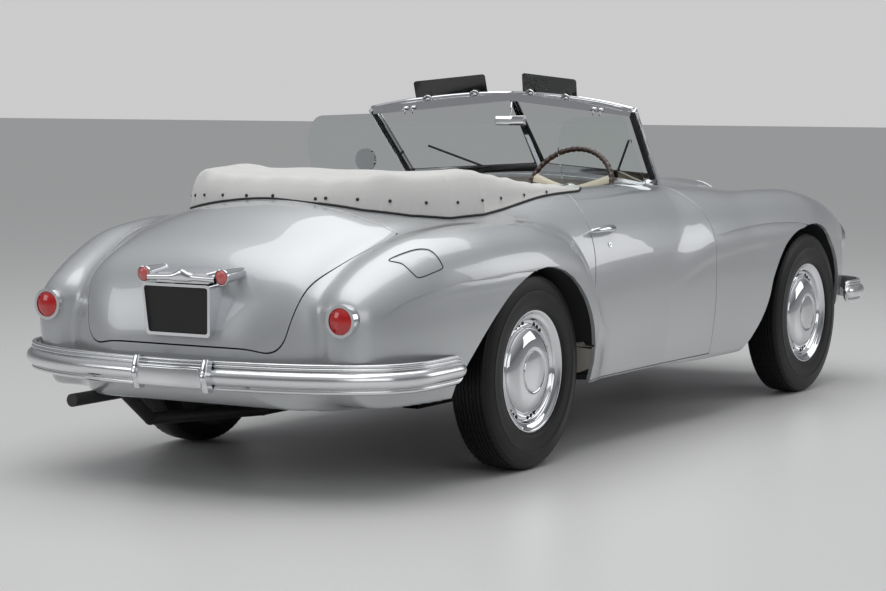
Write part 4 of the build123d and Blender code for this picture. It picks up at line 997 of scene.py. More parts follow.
def dress(name, part, look, body, slot, *replaced, sharp=35):
    """A finished piece from its points and faces; `sharp` is None where it has no edges."""
    obj = new_object(name, *part, look)
    if sharp is not None:
        flat_shade_angle(obj, sharp)
    add(obj, body, slot, *replaced)


def middle_of(node):
    """Middle of a node's box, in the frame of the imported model."""
    low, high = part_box(node)
    return np.array([(low[k] + high[k]) / 2 for k in range(3)])


# ---- bonnet scoop -----------------------------------------------------------------------------
SCOOP_HALF = 0.165
SCOOP_RISE = np.array([(1.08, 0.0), (1.13, 0.004), (1.34, 0.018), (1.56, 0.038), (1.72, 0.052),
                       (1.815, 0.062)])


def scoop_skin():
    """Low scoop on the bonnet, open to the front, with a bright lip; a black sheet inside its
    mouth is painted shade.
    """
    across = np.linspace(-1, 1, 41)
    y = across * SCOOP_HALF
    stations = np.linspace(SCOOP_RISE[0, 0], SCOOP_RISE[-1, 0], 40)
    mouth = stations[-1]
    rise = pchip(SCOOP_RISE[:, 0], SCOOP_RISE[:, 1:], stations)[:, 0]
    shape = (1 - np.abs(across) ** 2.3) ** 1.5
    base = surface_height(np.repeat(stations, len(y)), np.tile(y, len(stations)), 0.95)
    base = base.reshape(len(stations), -1)
    top = base + rise[:, None] * shape - 0.0012 * (np.abs(across) > 0.99)
    inner = base[-1] + np.maximum(rise[-1] * shape - 0.007, 0.0)

    def row(x, z):
        return np.stack([np.full(len(y), x), y, z], 1)

    rows = [row(x, z) for x, z in zip(stations, top)]
    rows += [row(mouth - back, inner) for back in (0.0, 0.04, 0.10)]
    dress("bonnet_scoop", (np.concatenate(rows), grid_faces(len(rows), len(y))), paint,
          "bonnet", "paint", "bonnet", sharp=50)
    # A black sheet closing the mouth: painted shade of the scoop's inside.
    mouth_shade = np.concatenate([row(mouth - 0.05, z) for z in (base[-1] - 0.003, inner)])
    dress("scoop_mouth_shade", (mouth_shade, grid_faces(2, len(y))), rubber_black_and_shade, "bonnet", "paint", "bonnet",
          sharp=None)
    dress("scoop_lip", tube(row(mouth + 0.001, top[-1] + 0.001), 0.0022), chrome, "bonnet",
          "chrome", "bonnet", sharp=None)


scoop_skin()


# ---- folded top under its cover ---------------------------------------------------------------
CAD_COVER = [np.array(corner) - [SHIFT, 0, 0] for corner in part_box("top_cover")]
COVER_REAR, COVER_TIP = CAD_COVER[0][0], CAD_COVER[1][0] + 0.004
COVER_HALF = CAD_COVER[1][1] + 0.038
COVER_FRONT = CAD_COVER[1][0] - 0.472
COVER_CREST = np.array([(-0.01, 1.030), (0.016, 1.076), (0.066, 1.103), (0.25, 1.113),
                        (0.45, 1.119), (0.666, 1.096), (0.866, 1.070), (1.140, 1.046),
                        (1.190, 1.040)])

COVER_CELL = 0.010                      # grid of the canvas
COVER_ROUND = 0.060                     # width of the cover's rounded border
COVER_LEVEL = 1.03                      # height near which its edge is looked for
STUD_PROFILE = [(0.0, 0.006), (0.0035, 0.0055), (0.0058, 0.0035), (0.0065, 0.0)]

# Studs along the left half of the cover's edge, in plan.
COVER_STUDS = [(COVER_REAR + run, y) for run, y in (
    (0.0, 0.0), (0.001, 0.115), (0.012, 0.23), (0.050, 0.345), (0.120, 0.45), (0.225, 0.54),
    (0.345, 0.60), (0.475, 0.63), (0.62, 0.633), (0.80, 0.633), (1.0, 0.633))]


def cover_plan():
    """Edge of the cover in plan: rounded at the back, with a tongue along each door."""
    half = [(COVER_REAR, 0), (COVER_REAR + 0.002, 0.20), (COVER_REAR + 0.056, 0.36),
            (COVER_REAR + 0.166, 0.50), (COVER_REAR + 0.306, COVER_HALF - 0.035),
            (COVER_REAR + 0.486, COVER_HALF), (COVER_TIP - 0.08, COVER_HALF),
            (COVER_TIP, COVER_HALF - 0.03), (COVER_TIP - 0.006, COVER_HALF - 0.09),
            (COVER_FRONT + 0.17, COVER_HALF - 0.112), (COVER_FRONT + 0.04, COVER_HALF - 0.16),
            (COVER_FRONT, COVER_HALF - 0.30), (COVER_FRONT, 0)]
    both = half + [(x, -y) for x, y in reversed(half[1:-1])]
    return rounded(both, 0.06, 5)


def cover_folds(x, y):
    """Soft folds of the canvas over the hoops of the folded top."""
    side = np.abs(y)
    run = x - COVER_REAR
    rails = 0.017 * np.exp(-((side - 0.50) / 0.055) ** 2 - ((run - 0.56) / 0.13) ** 2)
    ends = 0.013 * np.exp(-((side - 0.40) / 0.09) ** 2 - ((run - 0.14) / 0.07) ** 2)
    hoops = (0.004 * np.cos(run * 2 * pi / 0.21 + 0.4) * np.exp(-((run - 0.30) / 0.30) ** 2)
             * np.exp(-(side / 0.45) ** 4))
    slant = side + 0.55 * (run - 0.70)
    creases = (0.0055 * np.sin(slant * 2 * pi / 0.085 + 1.3 * np.sin(run * 9))
               * np.exp(-((run - 0.72) / 0.16) ** 2) * np.exp(-((side - 0.46) / 0.13) ** 2))
    pull = (0.0028 * np.sin(side * 2 * pi / 0.13 + 0.8 * np.sin(run * 7 + 1.0))
            * np.exp(-((run - 0.10) / 0.10) ** 2))
    tongue = 0.003 * np.sin(run * 2 * pi / 0.11) * np.exp(-((run - 0.98) / 0.12) ** 2)
    drift = 0.0016 * (np.sin(17 * x + 9 * y) + np.sin(23 * y - 11 * x + 1.7))
    return rails + ends + hoops + creases + pull + tongue + drift


def cover_height(x, y, depth):
    """Height of the canvas over a point that lies `depth` inside the cover's edge."""
    base = surface_height(x, y, COVER_LEVEL)
    crest = pchip(COVER_CREST[:, 0] + COVER_REAR, COVER_CREST[:, 1:], x)[:, 0]
    crest = np.maximum(crest, base + 0.004)
    share = np.sqrt(1 - (1 - np.clip(depth / COVER_ROUND, 0, 1)) ** 2)
    return base + 0.002 + (crest - base) * share + cover_folds(x, y) * ramp(depth, 0.0, 0.05)


def edge_depth(outline, points):
    """How far each point lies inside an outline, in plan."""
    return -sd_polygon(outline, points[:, :2])


def top_cover():
    """Canvas cover held down by studs over the folded top, with a moulding round its edge."""
    outline = cover_plan()
    xs = np.arange(COVER_REAR - 0.02, COVER_TIP + 0.02, COVER_CELL)
    ys = np.arange(-COVER_HALF - 0.02, COVER_HALF + 0.02, COVER_CELL)
    x, y = [a.ravel() for a in np.meshgrid(xs, ys, indexing="ij")]
    quads = grid_faces(len(xs), len(ys))
    flat = np.stack([x, y, np.zeros(len(x))], 1)
    sheet = Skin(flat, np.tile([0, 0, 1.0], (len(flat), 1)),
                 np.concatenate([quads[:, [0, 2, 1]], quads[:, [0, 3, 2]]]))
    for reach in (0.055, 0.028, 0.012, 0.004):
        sheet = sheet_split(sheet, edge_depth(outline, sheet.points) - reach)
    sheet = sheet.clip(edge_depth(outline, sheet.points))
    x, y = sheet.points[:, 0], sheet.points[:, 1]
    depth = np.clip(edge_depth(outline, sheet.points), 0, None)
    points = np.stack([x, y, cover_height(x, y, depth)], 1)
    a, b, c = (points[sheet.faces[:, k]] for k in range(3))
    facing = np.cross(b - a, c - a)
    normals = np.zeros_like(points)
    for k in range(3):
        np.add.at(normals, sheet.faces[:, k], facing)
    points, normals, faces = Skin(points, unit(normals), sheet.faces).lipped(0.003, 0.0015)
    cover = new_object("cover_canvas", points, faces, canvas)
    add(cover, "car", "canvas", "top_cover")
    rim = even(outline[None], 260)[0]
    edge_height = surface_height(rim[:, 0], rim[:, 1], COVER_LEVEL)
    moulding = np.column_stack([rim, edge_height + 0.003])[:-1]
    dress("cover_moulding", tube(moulding, 0.0048, 8, closed=True), rubber_black_and_shade, "car", "canvas",
          "top_cover", sharp=None)
    studs = []
    for x_at, y_at in COVER_STUDS + [(a, -b) for a, b in COVER_STUDS if b > 0.01]:
        nearest = rim[np.argmin(np.hypot(rim[:, 0] - x_at, rim[:, 1] - y_at))]
        inward = unit(np.array([COVER_REAR + 0.45, 0.25 * y_at]) - nearest)
        place = nearest + inward * 0.0035
        height = cover_height(place[:1], place[1:], edge_depth(outline, place[None]))[0]
        ball, faces = lathe(STUD_PROFILE, 14)
        studs.append((ball @ np.array(stud_turn(inward)) + [place[0], place[1], height], faces))
    dress("cover_studs", merged(studs), snap_dark, "car", "canvas", "top_cover", sharp=None)


def stud_turn(inward):
    """Rows of a turn that takes Y to the outward and upward side of the cover."""
    out = unit(np.array([-inward[0], -inward[1], 0.35]))
    side = unit(np.cross(out, [0, 0, 1.0]))
    return [side, out, np.cross(side, out)]


def sheet_split(sheet, s):
    """The same sheet with an edge loop where s is zero."""
    a, b = sheet.clip(s), sheet.clip(-s)
    points = np.concatenate([a.points, b.points])
    faces = np.concatenate([a.faces, b.faces + len(a.points)])
    key = np.round(points[:, :2] * 1e5).astype(np.int64)
    _, first, back = np.unique(key, axis=0, return_index=True, return_inverse=True)
    faces = back.ravel()[faces]
    good = ((faces[:, 0] != faces[:, 1]) & (faces[:, 1] != faces[:, 2])
            & (faces[:, 0] != faces[:, 2]))
    return Skin(points[first], np.tile([0, 0, 1.0], (len(first), 1)), faces[good])


top_cover()


# ---- wheels -----------------------------------------------------------------------------------
# Half profiles about the axle, metres: (radius, distance outwards from the tyre's middle).
TYRE_OUTER = [(0.224, 0.0665), (0.2265, 0.0705), (0.232, 0.0735), (0.238, 0.0745),
              (0.2415, 0.0775), (0.2440, 0.0772), (0.2465, 0.0785), (0.262, 0.0812),
              (0.284, 0.0832), (0.302, 0.0836), (0.3045, 0.0846), (0.3075, 0.0846),
              (0.310, 0.0828), (0.328, 0.0806), (0.344, 0.0770), (0.352, 0.0742),
              (0.3535, 0.0748), (0.3565, 0.0738), (0.3575, 0.0722), (0.3625, 0.0695),
              (0.3675, 0.0655)]
TREAD_HALF, TREAD_CROWN = 0.0585, 0.3748
TREAD_GROOVES = [(0.0075, 0.0105), (0.0215, 0.0245), (0.0365, 0.0395), (0.0520, 0.0545)]
GROOVE_DEPTH, SIPE_DEPTH, ZIGZAG = 0.0055, 0.0028, 0.0016
RIM_OUTER = [(0.2235, 0.0665), (0.2290, 0.0690), (0.2312, 0.0722), (0.2305, 0.0745),
             (0.2270, 0.0750), (0.2225, 0.0728), (0.2170, 0.0670), (0.2110, 0.0640),
             (0.2040, 0.0625), (0.1990, 0.0600), (0.1965, 0.0545), (0.1935, 0.0440),
             (0.1880, 0.0400), (0.1760, 0.0405), (0.1705, 0.0440), (0.1675, 0.0480),
             (0.1655, 0.0480), (0.1640, 0.0450)]
CAP_OUTER = [(0.1660, 0.0420), (0.1655, 0.0500), (0.1620, 0.0560), (0.1500, 0.0650),
             (0.1330, 0.0725), (0.1130, 0.0775), (0.0930, 0.0800), (0.0810, 0.0805),
             (0.0790, 0.0790), (0.0770, 0.0790), (0.0750, 0.0812), (0.0560, 0.0835),
             (0.0300, 0.0852), (0.0, 0.0858)]
WHEEL_BARREL = [(0.2235, 0.0665), (0.2150, 0.0600), (0.2060, 0.0300), (0.2060, -0.0500),
                (0.2150, -0.0640), (0.2290, -0.0690), (0.2312, -0.0730), (0.2230, -0.0720),
                (0.2110, -0.0660), (0.2000, -0.0500), (0.1960, 0.0100), (0.1700, 0.0000),
                (0.1100, -0.0150), (0.0700, -0.0160), (0.0600, -0.0100)]
HOLE_RADIUS, HOLE_RING = 0.0078, 0.1815
HOLE_GROUPS, HOLE_PITCH = 8, 0.145      # groups of three holes; angle between their holes


def tread_radius(y):
    """The tread is slightly crowned across its width."""
    return TREAD_CROWN - 0.0045 * (y / TREAD_HALF) ** 2


def tyre_profile():
    """The tyre's outline from its inner bead over the grooved tread to the outer bead."""
    tread = [(TREAD_CROWN, 0.0)]
    for start, end in TREAD_GROOVES:
        tread += [(tread_radius(start), start),
                  (tread_radius(start) - GROOVE_DEPTH, start + 0.0005),
                  (tread_radius(end) - GROOVE_DEPTH, end - 0.0005),
                  (tread_radius(end), end)]
    tread += [(tread_radius(TREAD_HALF), TREAD_HALF), (0.3690, 0.0640)]
    inner = [(r, -y) for r, y in TYRE_OUTER + tread[:0:-1]]
    return np.array(inner + tread + TYRE_OUTER[::-1])


def on_axle(name, node, part, side, look, sharp):
    """A turned piece placed about the middle of a tyre, with its outer side facing out."""
    points, faces = part
    points = points * [1, side, 1] + middle_of(node)
    faces = np.array(faces)
    if side > 0:
        faces = faces[:, ::-1]
    return flat_shade_angle(new_object(name, points, faces, look, shift=False), sharp)


def tyre(node, body, side):
    """Crossply tyre: ribbed tread with sipes, and sidewalls with moulded rings."""
    profile = tyre_profile()
    n = 216
    spoke = np.arange(n)
    turn = spoke * 2 * pi / n
    radius = np.repeat(profile[:, :1], n, 1)
    outward = np.repeat(profile[:, 1:], n, 1)
    spot = np.abs(profile[:, 1])
    # Zigzag grooves: their walls wander from side to side round the tyre.
    in_tread = (profile[:, 0] > 0.366) & (spot < 0.050) & (spot > 0.004)
    outward[in_tread] += ZIGZAG * np.sign((spoke % 4 < 2) - 0.5)[None]
    # Sipes across the shoulders.
    shoulder = (profile[:, 0] > 0.3655) & (spot >= 0.0545)
    radius[shoulder] -= SIPE_DEPTH * (spoke % 3 == 0)[None]
    points = np.stack([radius * np.cos(turn), outward, radius * np.sin(turn)], -1).reshape(-1, 3)
    part = points, grid_faces(len(profile), n, wrap=True)
    add(on_axle(node + "_moulded", node, part, side, rubber, 28), body, "tyre", node)


def wheel_hole_shade():
    """Black pits of painted shade at the holes round the wheel's disc, in groups of three."""
    pit, faces = lathe([(HOLE_RADIUS + 0.0014, -0.001), (HOLE_RADIUS + 0.0006, 0.0014),
                        (HOLE_RADIUS - 0.0006, 0.0012), (0.0, 0.0008)], 18)
    pits = []
    for group in range(HOLE_GROUPS):
        for k in (-1, 0, 1):
            angle = group * 2 * pi / HOLE_GROUPS + k * HOLE_PITCH + 0.26
            pits.append((pit + [HOLE_RING * cos(angle), 0.0402, HOLE_RING * sin(angle)], faces))
    return merged(pits)


def wheel(node, body, side):
    """Chromed disc wheel with its trim ring, domed cap, barrel and ring of holes drawn as black
    pits of painted shade.
    """
    for label, part, look in (("disc", lathe(RIM_OUTER, 128), chrome),
                              ("cap", lathe(CAP_OUTER, 128), chrome),
                              ("barrel", lathe(WHEEL_BARREL, 128), dark_metal),
                              ("holes", wheel_hole_shade(), flat_black_and_shade)):
        obj = on_axle(f"{node}_{label}", node.replace("wheel", "tyre"), part, side, look, 40)
        add(obj, body, "wheel", node)


for end in ("front", "rear"):
    for hand, side in (("left", 1), ("right", -1)):
        tyre(f"tyre_{end}_{hand}", f"{end}_{hand}_wheel", side)
        wheel(f"wheel_{end}_{hand}", f"{end}_{hand}_wheel", side)


# ---- seats ------------------------------------------------------------------------------------
PAD_EDGE = 0.030                        # radius of a pad's edges
PAD_CROWN = 0.022                       # rise of its middle
PAD_BORDER, PAD_SEAM = 0.80, 0.82       # shares of its half size
SEAT_Y = 0.354                          # middle of the left front seat


def cube_grid():
    """Points of a cube from -1 to 1 with a fine grid on each side, and their quads."""
    counts = (46, 46, 10)
    points, faces, start = [], [], 0
    for axis in range(3):
        a, b = [k for k in range(3) if k != axis]
        for sign in (-1, 1):
            ua, ub = np.meshgrid(np.linspace(-1, 1, counts[a]), np.linspace(-1, 1, counts[b]),
                                 indexing="ij")
            side = np.zeros((counts[a] * counts[b], 3))
            side[:, a], side[:, b], side[:, axis] = ua.ravel(), ub.ravel(), sign
            grid = grid_faces(counts[a], counts[b])
            points.append(side)
            faces.append((grid[:, ::-1] if (sign > 0) == (axis == 1) else grid) + start)
            start += len(side)
    return np.concatenate(points), np.concatenate(faces)


def cushion(name, half, turn, origin, channels, replaced):
    """A stuffed leather pad of half sizes `half`: rounded edges, a sewn border and channels."""
    cube, faces = cube_grid()
    half = np.array(half)
    core = np.clip(cube * half, -(half - PAD_EDGE), half - PAD_EDGE)
    away = cube * half - core
    length = np.linalg.norm(away, axis=1, keepdims=True)
    p = np.where(length > 1e-9, core + away / np.maximum(length, 1e-9) * PAD_EDGE, cube * half)
    sx, sy = p[:, 0] / half[0], p[:, 1] / half[1]
    reach = np.maximum(np.abs(sx), np.abs(sy))
    swell = np.clip(1 - sx ** 4, 0, 1) * np.clip(1 - sy ** 4, 0, 1)
    phase = (sy * 0.5 + 0.5) * channels
    groove = -0.011 * np.exp(-((phase - np.round(phase)) / 0.09) ** 2)
    groove = groove * np.clip((PAD_BORDER - reach) / 0.06, 0, 1)
    seam = -0.007 * np.exp(-((reach - PAD_SEAM) / 0.018) ** 2)
    lift = PAD_CROWN * swell + groove + seam - PAD_CROWN
    p[:, 2] += np.where(p[:, 2] > half[2] * 0.3, lift, 0)
    obj = new_object(name, p @ np.array(turn).T + np.asarray(origin), faces, leather)
    work = bmesh.new()
    work.from_mesh(obj.data)
    bmesh.ops.remove_doubles(work, verts=work.verts, dist=0.0004)
    bmesh.ops.recalc_face_normals(work, faces=work.faces)
    work.to_mesh(obj.data)
    work.free()
    obj.data.shade_smooth()
    add(obj, "car", "leather", replaced)


def tilted(degrees):
    """Rows of a turn about Y that raises the front of a pad by some degrees."""
    a = radians(degrees)
    return [(cos(a), 0, -sin(a)), (0, 1, 0), (sin(a), 0, cos(a))]


def seats():
    """Two front seats with their shells and rails, and the bench behind them."""
    for hand, side in (("left", 1), ("right", -1)):
        y = side * SEAT_Y
        cushion(f"seat_cushion_{hand}", (0.235, 0.225, 0.075), tilted(6), (-0.375, y, 0.462), 6,
                "front_seats")
        cushion(f"seat_back_{hand}", (0.220, 0.220, 0.055), tilted(-105), (-0.667, y, 0.705), 6,
                "front_seats")
        base = block((-0.375, y, 0.345), (0.44, 0.40, 0.11), 0.02)
        shell = block((-0.718, y, 0.690), (0.44, 0.42, 0.028), 0.012,
                      Matrix(np.array(tilted(-105)).tolist()))
        rails = [block((-0.375, y + s * 0.17, 0.286), (0.46, 0.026, 0.016), 0.002)
                 for s in (-1, 1)]
        dress(f"seat_shell_{hand}", merged([base, shell]), leather, "car", "leather",
              "front_seats")
        dress(f"seat_rails_{hand}", merged(rails), dark_metal, "car", "leather", "front_seats")
    cushion("bench_cushion", (0.150, 0.470, 0.065), tilted(4), (-1.005, 0, 0.548), 8,
            "rear_bench")
    cushion("bench_back", (0.145, 0.470, 0.040), tilted(-100), (-1.190, 0, 0.740), 8,
            "rear_bench")
    dress("bench_base", block((-1.01, 0, 0.435), (0.29, 0.93, 0.10), 0.01), leather, "car",
          "leather", "rear_bench")


seats()


# ---- steering wheel ---------------------------------------------------------------------------
COLUMN_RAKE = radians(27)
WHEEL_HUB = np.array([-0.149, -0.330, 0.994])
BOSS_PROFILE = [(0.036, -0.030), (0.038, -0.004), (0.037, 0.006), (0.031, 0.012),
                (0.029, 0.012), (0.026, 0.016), (0.012, 0.021), (0.0, 0.022)]


SPOKE_ANGLES = (-18, 90, 198)
SPOKE_SHARES = np.linspace(0.12, 0.99, 9)       # places along a spoke, of the rim's radius
SPOKE_ACROSS = (-1, -0.6, 0, 0.6, 1)            # places across it, of its half width


def closed_plate(rows, rise, columns, edges):
    """A grid of points given a thickness: `rise` leads from it to its back."""
    grid = grid_faces(len(rows) // columns, columns)
    count = len(rows)
    faces = grid.tolist() + (grid[:, ::-1] + count).tolist() + edges
    return np.concatenate([rows, rows + rise]), faces


def steering_wheel():
    """Thin rim with finger grips, three broad pale spokes and a bright boss."""
    low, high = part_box("steering_wheel")
    outward = np.array([-cos(COLUMN_RAKE), 0, sin(COLUMN_RAKE)])
    side = np.array([0, 1.0, 0])
    up = np.cross(outward, side)
    radius = (high[1] - low[1]) / 2 - 0.012
    turn = np.arange(288) * 2 * pi / 288
    path = WHEEL_HUB + radius * (np.cos(turn)[:, None] * side + np.sin(turn)[:, None] * up)
    places = "steering_wheel", "steering_plastic", "steering_wheel"
    dress("steering_rim", tube(path, 0.0115 + 0.0012 * np.cos(turn * 48), 12, closed=True), wood,
          *places, sharp=None)
    spokes = []
    columns = len(SPOKE_ACROSS)
    for angle in SPOKE_ANGLES:
        a = radians(angle)
        along = cos(a) * side + sin(a) * up
        crossways = -sin(a) * side + cos(a) * up
        rows = []
        for share in SPOKE_SHARES:
            width = 0.021 - 0.006 * sin(pi * share)
            dish = 0.004 - 0.010 * (1 - share) ** 2
            for edge in SPOKE_ACROSS:
                lift = 0.0035 * (1 - edge * edge)
                rows.append(WHEEL_HUB + along * radius * share + crossways * width * edge
                            + outward * (dish + lift))
        count = len(rows)
        edges = []
        for j in (0, columns - 1):
            for first in range(j, count - columns, columns):
                second = first + columns
                quad = (first, second, second + count, first + count)
                edges.append(quad if j else quad[::-1])
        spokes.append(closed_plate(np.array(rows), -outward * 0.006, columns, edges))
    dress("steering_spokes", merged(spokes), cream, *places, sharp=40)
    hub_points, hub_faces = lathe(BOSS_PROFILE, 64)
    basis = np.array([side, outward, np.cross(side, outward)])
    dress("steering_boss", (hub_points @ basis + WHEEL_HUB, hub_faces), chrome, *places, sharp=40)


steering_wheel()


# ---- bumpers ----------------------------------------------------------------------------------
NOSE_END, TAIL_END = 2.270, -2.600
BUMPER_LOW = 0.392
BLADE_HEIGHT, BLADE_DEPTH, BLADE_BACK = 0.105, 0.020, 0.007
ARM_LENGTH = 0.16
BLADE_RIBS = [((0.003, 0.000), (0.010, 0.008), (0.005, 0.017)),
              ((0.005, 0.017), (0.030, 0.048), (0.005, 0.079)),
              ((0.005, 0.079), (0.0105, 0.0855), (0.005, 0.092)),
              ((0.005, 0.092), (0.009, 0.0985), (0.003, 0.105))]


def blade_section():
    """Closed outline of the blade: (outwards, height above its lower edge)."""
    parts = []
    for rib in BLADE_RIBS:
        arc = through(*rib, 9)
        parts.append(arc if not parts else arc[1:])
    front = np.concatenate(parts)
    return np.concatenate([front, [(-BLADE_BACK, 0.103), (-BLADE_BACK, 0.002)]])


def blade_path(end):
    """Middle line of a bumper in plan, from the left end round to the right."""
    face = (NOSE_END if end > 0 else -TAIL_END) - BLADE_DEPTH - 0.010
    wrap = 0.500 if end > 0 else 0.660
    half = [(face - wrap, 0.836), (face - 0.25, 0.852), (face - 0.075, 0.52), (face, 0.0)]
    corners = half + [(x, -y) for x, y in reversed(half[:-1])]
    line = rounded(corners, [0, 0.62, 0.80, 2.6, 0.80, 0.62, 0], 16)
    path = spline(line, 2)
    run = np.concatenate([[0], np.cumsum(np.linalg.norm(np.diff(path, axis=0), axis=1))])
    at = np.linspace(0, run[-1], 240)
    nib = 0.05 * (1 - np.cos(np.linspace(0, pi / 2, 12)))
    at = np.unique(np.concatenate([at, nib, run[-1] - nib]))
    path = np.stack([np.interp(at, run, path[:, k]) for k in (0, 1)], 1)
    smooth = gauss_rows(path, 5)
    smooth[:12], smooth[-12:] = path[:12], path[-12:]
    return smooth * [end, 1], np.minimum(at, run[-1] - at)


def bumper_clasp(section, y):
    """Rounded bright strap over the blade, at a distance y from the middle of the car."""
    count = len(section)
    rows = []
    heights = np.concatenate([[-0.006], np.linspace(0.0, BLADE_HEIGHT, 25), [0.111]])
    widths = np.linspace(-0.5, 0.5, 9)
    for height in heights:
        reach = np.interp(np.clip(height, 0, BLADE_HEIGHT), section[:count - 2, 1],
                          section[:count - 2, 0]) + 0.006
        reach = max(reach, 0.016 + 0.014 * (1 - ((height - BLADE_HEIGHT / 2) / 0.06) ** 2))
        x = TAIL_END + 0.010 - reach + 0.030
        for w in widths:
            rows.append((x - 0.0035 * (1 - (2 * w) ** 4), y + 0.024 * w, BUMPER_LOW + height))
    m, columns = len(rows), len(widths)
    sides = []
    for row in range(0, m - columns, columns):
        for a in (row, row + columns - 1):
            sides.append((a, a + columns, a + columns + m, a + m))
    for j in range(columns - 1):
        for a in (j, m - columns + j):
            sides.append((a, a + 1, a + 1 + m, a + m))
    return closed_plate(np.array(rows), [0.03, 0, 0], columns, sides)


def bumper(node, end):
    """Ribbed aluminium blade wrapped round one end of the car, with rounded tips and arms."""
    path, from_end = blade_path(end)
    along = unit(np.gradient(path, axis=0))
    out = np.stack([along[:, 1], -along[:, 0]], 1)
    out *= np.sign((out * path).sum(1))[:, None]
    section = blade_section()
    middle = BLADE_HEIGHT / 2
    share = np.sqrt(np.clip(1 - (1 - np.clip(from_end / 0.048, 0, 1)) ** 2, 0.004, 1))
    rows = []
    for spot, normal, s in zip(path, out, share):
        reach = section[:, 0] * (0.35 + 0.65 * s)
        z = BUMPER_LOW + middle + (section[:, 1] - middle) * s
        rows.append(np.stack([spot[0] + normal[0] * reach, spot[1] + normal[1] * reach, z], 1))
    count = len(section)
    faces = grid_faces(len(rows), count, wrap=True).tolist()
    faces.append(tuple(range(count - 1, -1, -1)))
    faces.append(tuple((len(rows) - 1) * count + k for k in range(count)))
    places = "car", "chrome", node
    dress(node + "_blade", (np.concatenate(rows), faces), polished, *places, sharp=30)
    x = end * ((NOSE_END if end > 0 else -TAIL_END) - 0.066 - ARM_LENGTH / 2)
    arms = [block((x, y, 0.435), (ARM_LENGTH, 0.036, 0.05), 0.004) for y in (-0.33, 0.33)]
    dress(node + "_arms", merged(arms), flat_black_and_shade, *places)


def rear_bumper_dress():
    """Two clasps over the rear blade, with a blank plate between them."""
    places = "car", "chrome", "rear_bumper"
    section = blade_section()
    clasps = [bumper_clasp(section, y) for y in (0.105, -0.193)]
    dress("bumper_clasps", merged(clasps), chrome, *places, sharp=40)
    z = BUMPER_LOW + 0.048
    plate = block((TAIL_END + 0.012, -0.044, z), (0.018, 0.262, 0.062), 0.005)
    rim = block((TAIL_END + 0.013, -0.044, z), (0.016, 0.276, 0.076), 0.006)
    dress("bumper_plate", plate, polished, *places)
    dress("bumper_plate_rim", rim, chrome, *places)


bumper("front_bumper", 1)
bumper("rear_bumper", -1)
rear_bumper_dress()


# ---- number plate and boot fittings -----------------------------------------------------------
PLATE_MIDDLE = np.array([REAR_AXLE - 1.136, -0.018, 0.664])
LID_OUT = unit(np.array([-1.0, 0, -0.08]))
LID_ACROSS = np.array([0, -1.0, 0])
LID_UP = np.cross(LID_OUT, LID_ACROSS)
PULL_SHIFT, PULL_HEIGHT = 0.032, 0.118  # middle of the pull bar in the plate's frame
CUP_PROFILE = [(0.0, -0.10), (0.022, -0.10), (0.027, 0.002), (0.029, 0.016),
               (0.0285, 0.019), (0.0265, 0.0195), (0.0248, 0.016)]
GLASS_PROFILE = [(0.0255, 0.014), (0.0240, 0.020), (0.0200, 0.0245), (0.0120, 0.0275),
                 (0.0, 0.0285)]


def on_lid(points):
    """Points given as (across to the right, up, out of the lid) in the plate's frame."""
    points = np.asarray(points, float)
    return (PLATE_MIDDLE + points[:, :1] * LID_ACROSS + points[:, 1:2] * LID_UP
            + points[:, 2:] * LID_OUT)


def prism(outline, near, far, inner=None):
    """An outline drawn out from `far` to `near`, closed in front or open inside `inner`."""
    count = len(outline)
    loops = [np.column_stack([outline, np.full(count, z)]) for z in (far, near)]
    if inner is not None:
        loops += [np.column_stack([inner, np.full(count, z)]) for z in (near, far)]
        return np.concatenate(loops), grid_faces(4, count, wrap=True).tolist()
    faces = grid_faces(2, count, wrap=True).tolist()
    faces.append(tuple(count + k for k in range(count)))
    return np.concatenate(loops), faces


def trapezoid(top, foot, high, low, corner):
    """Outline of a plate a little wider at its top, with rounded corners."""
    return rounded([(-foot, low), (foot, low), (top, high), (-top, high)], corner, 8)


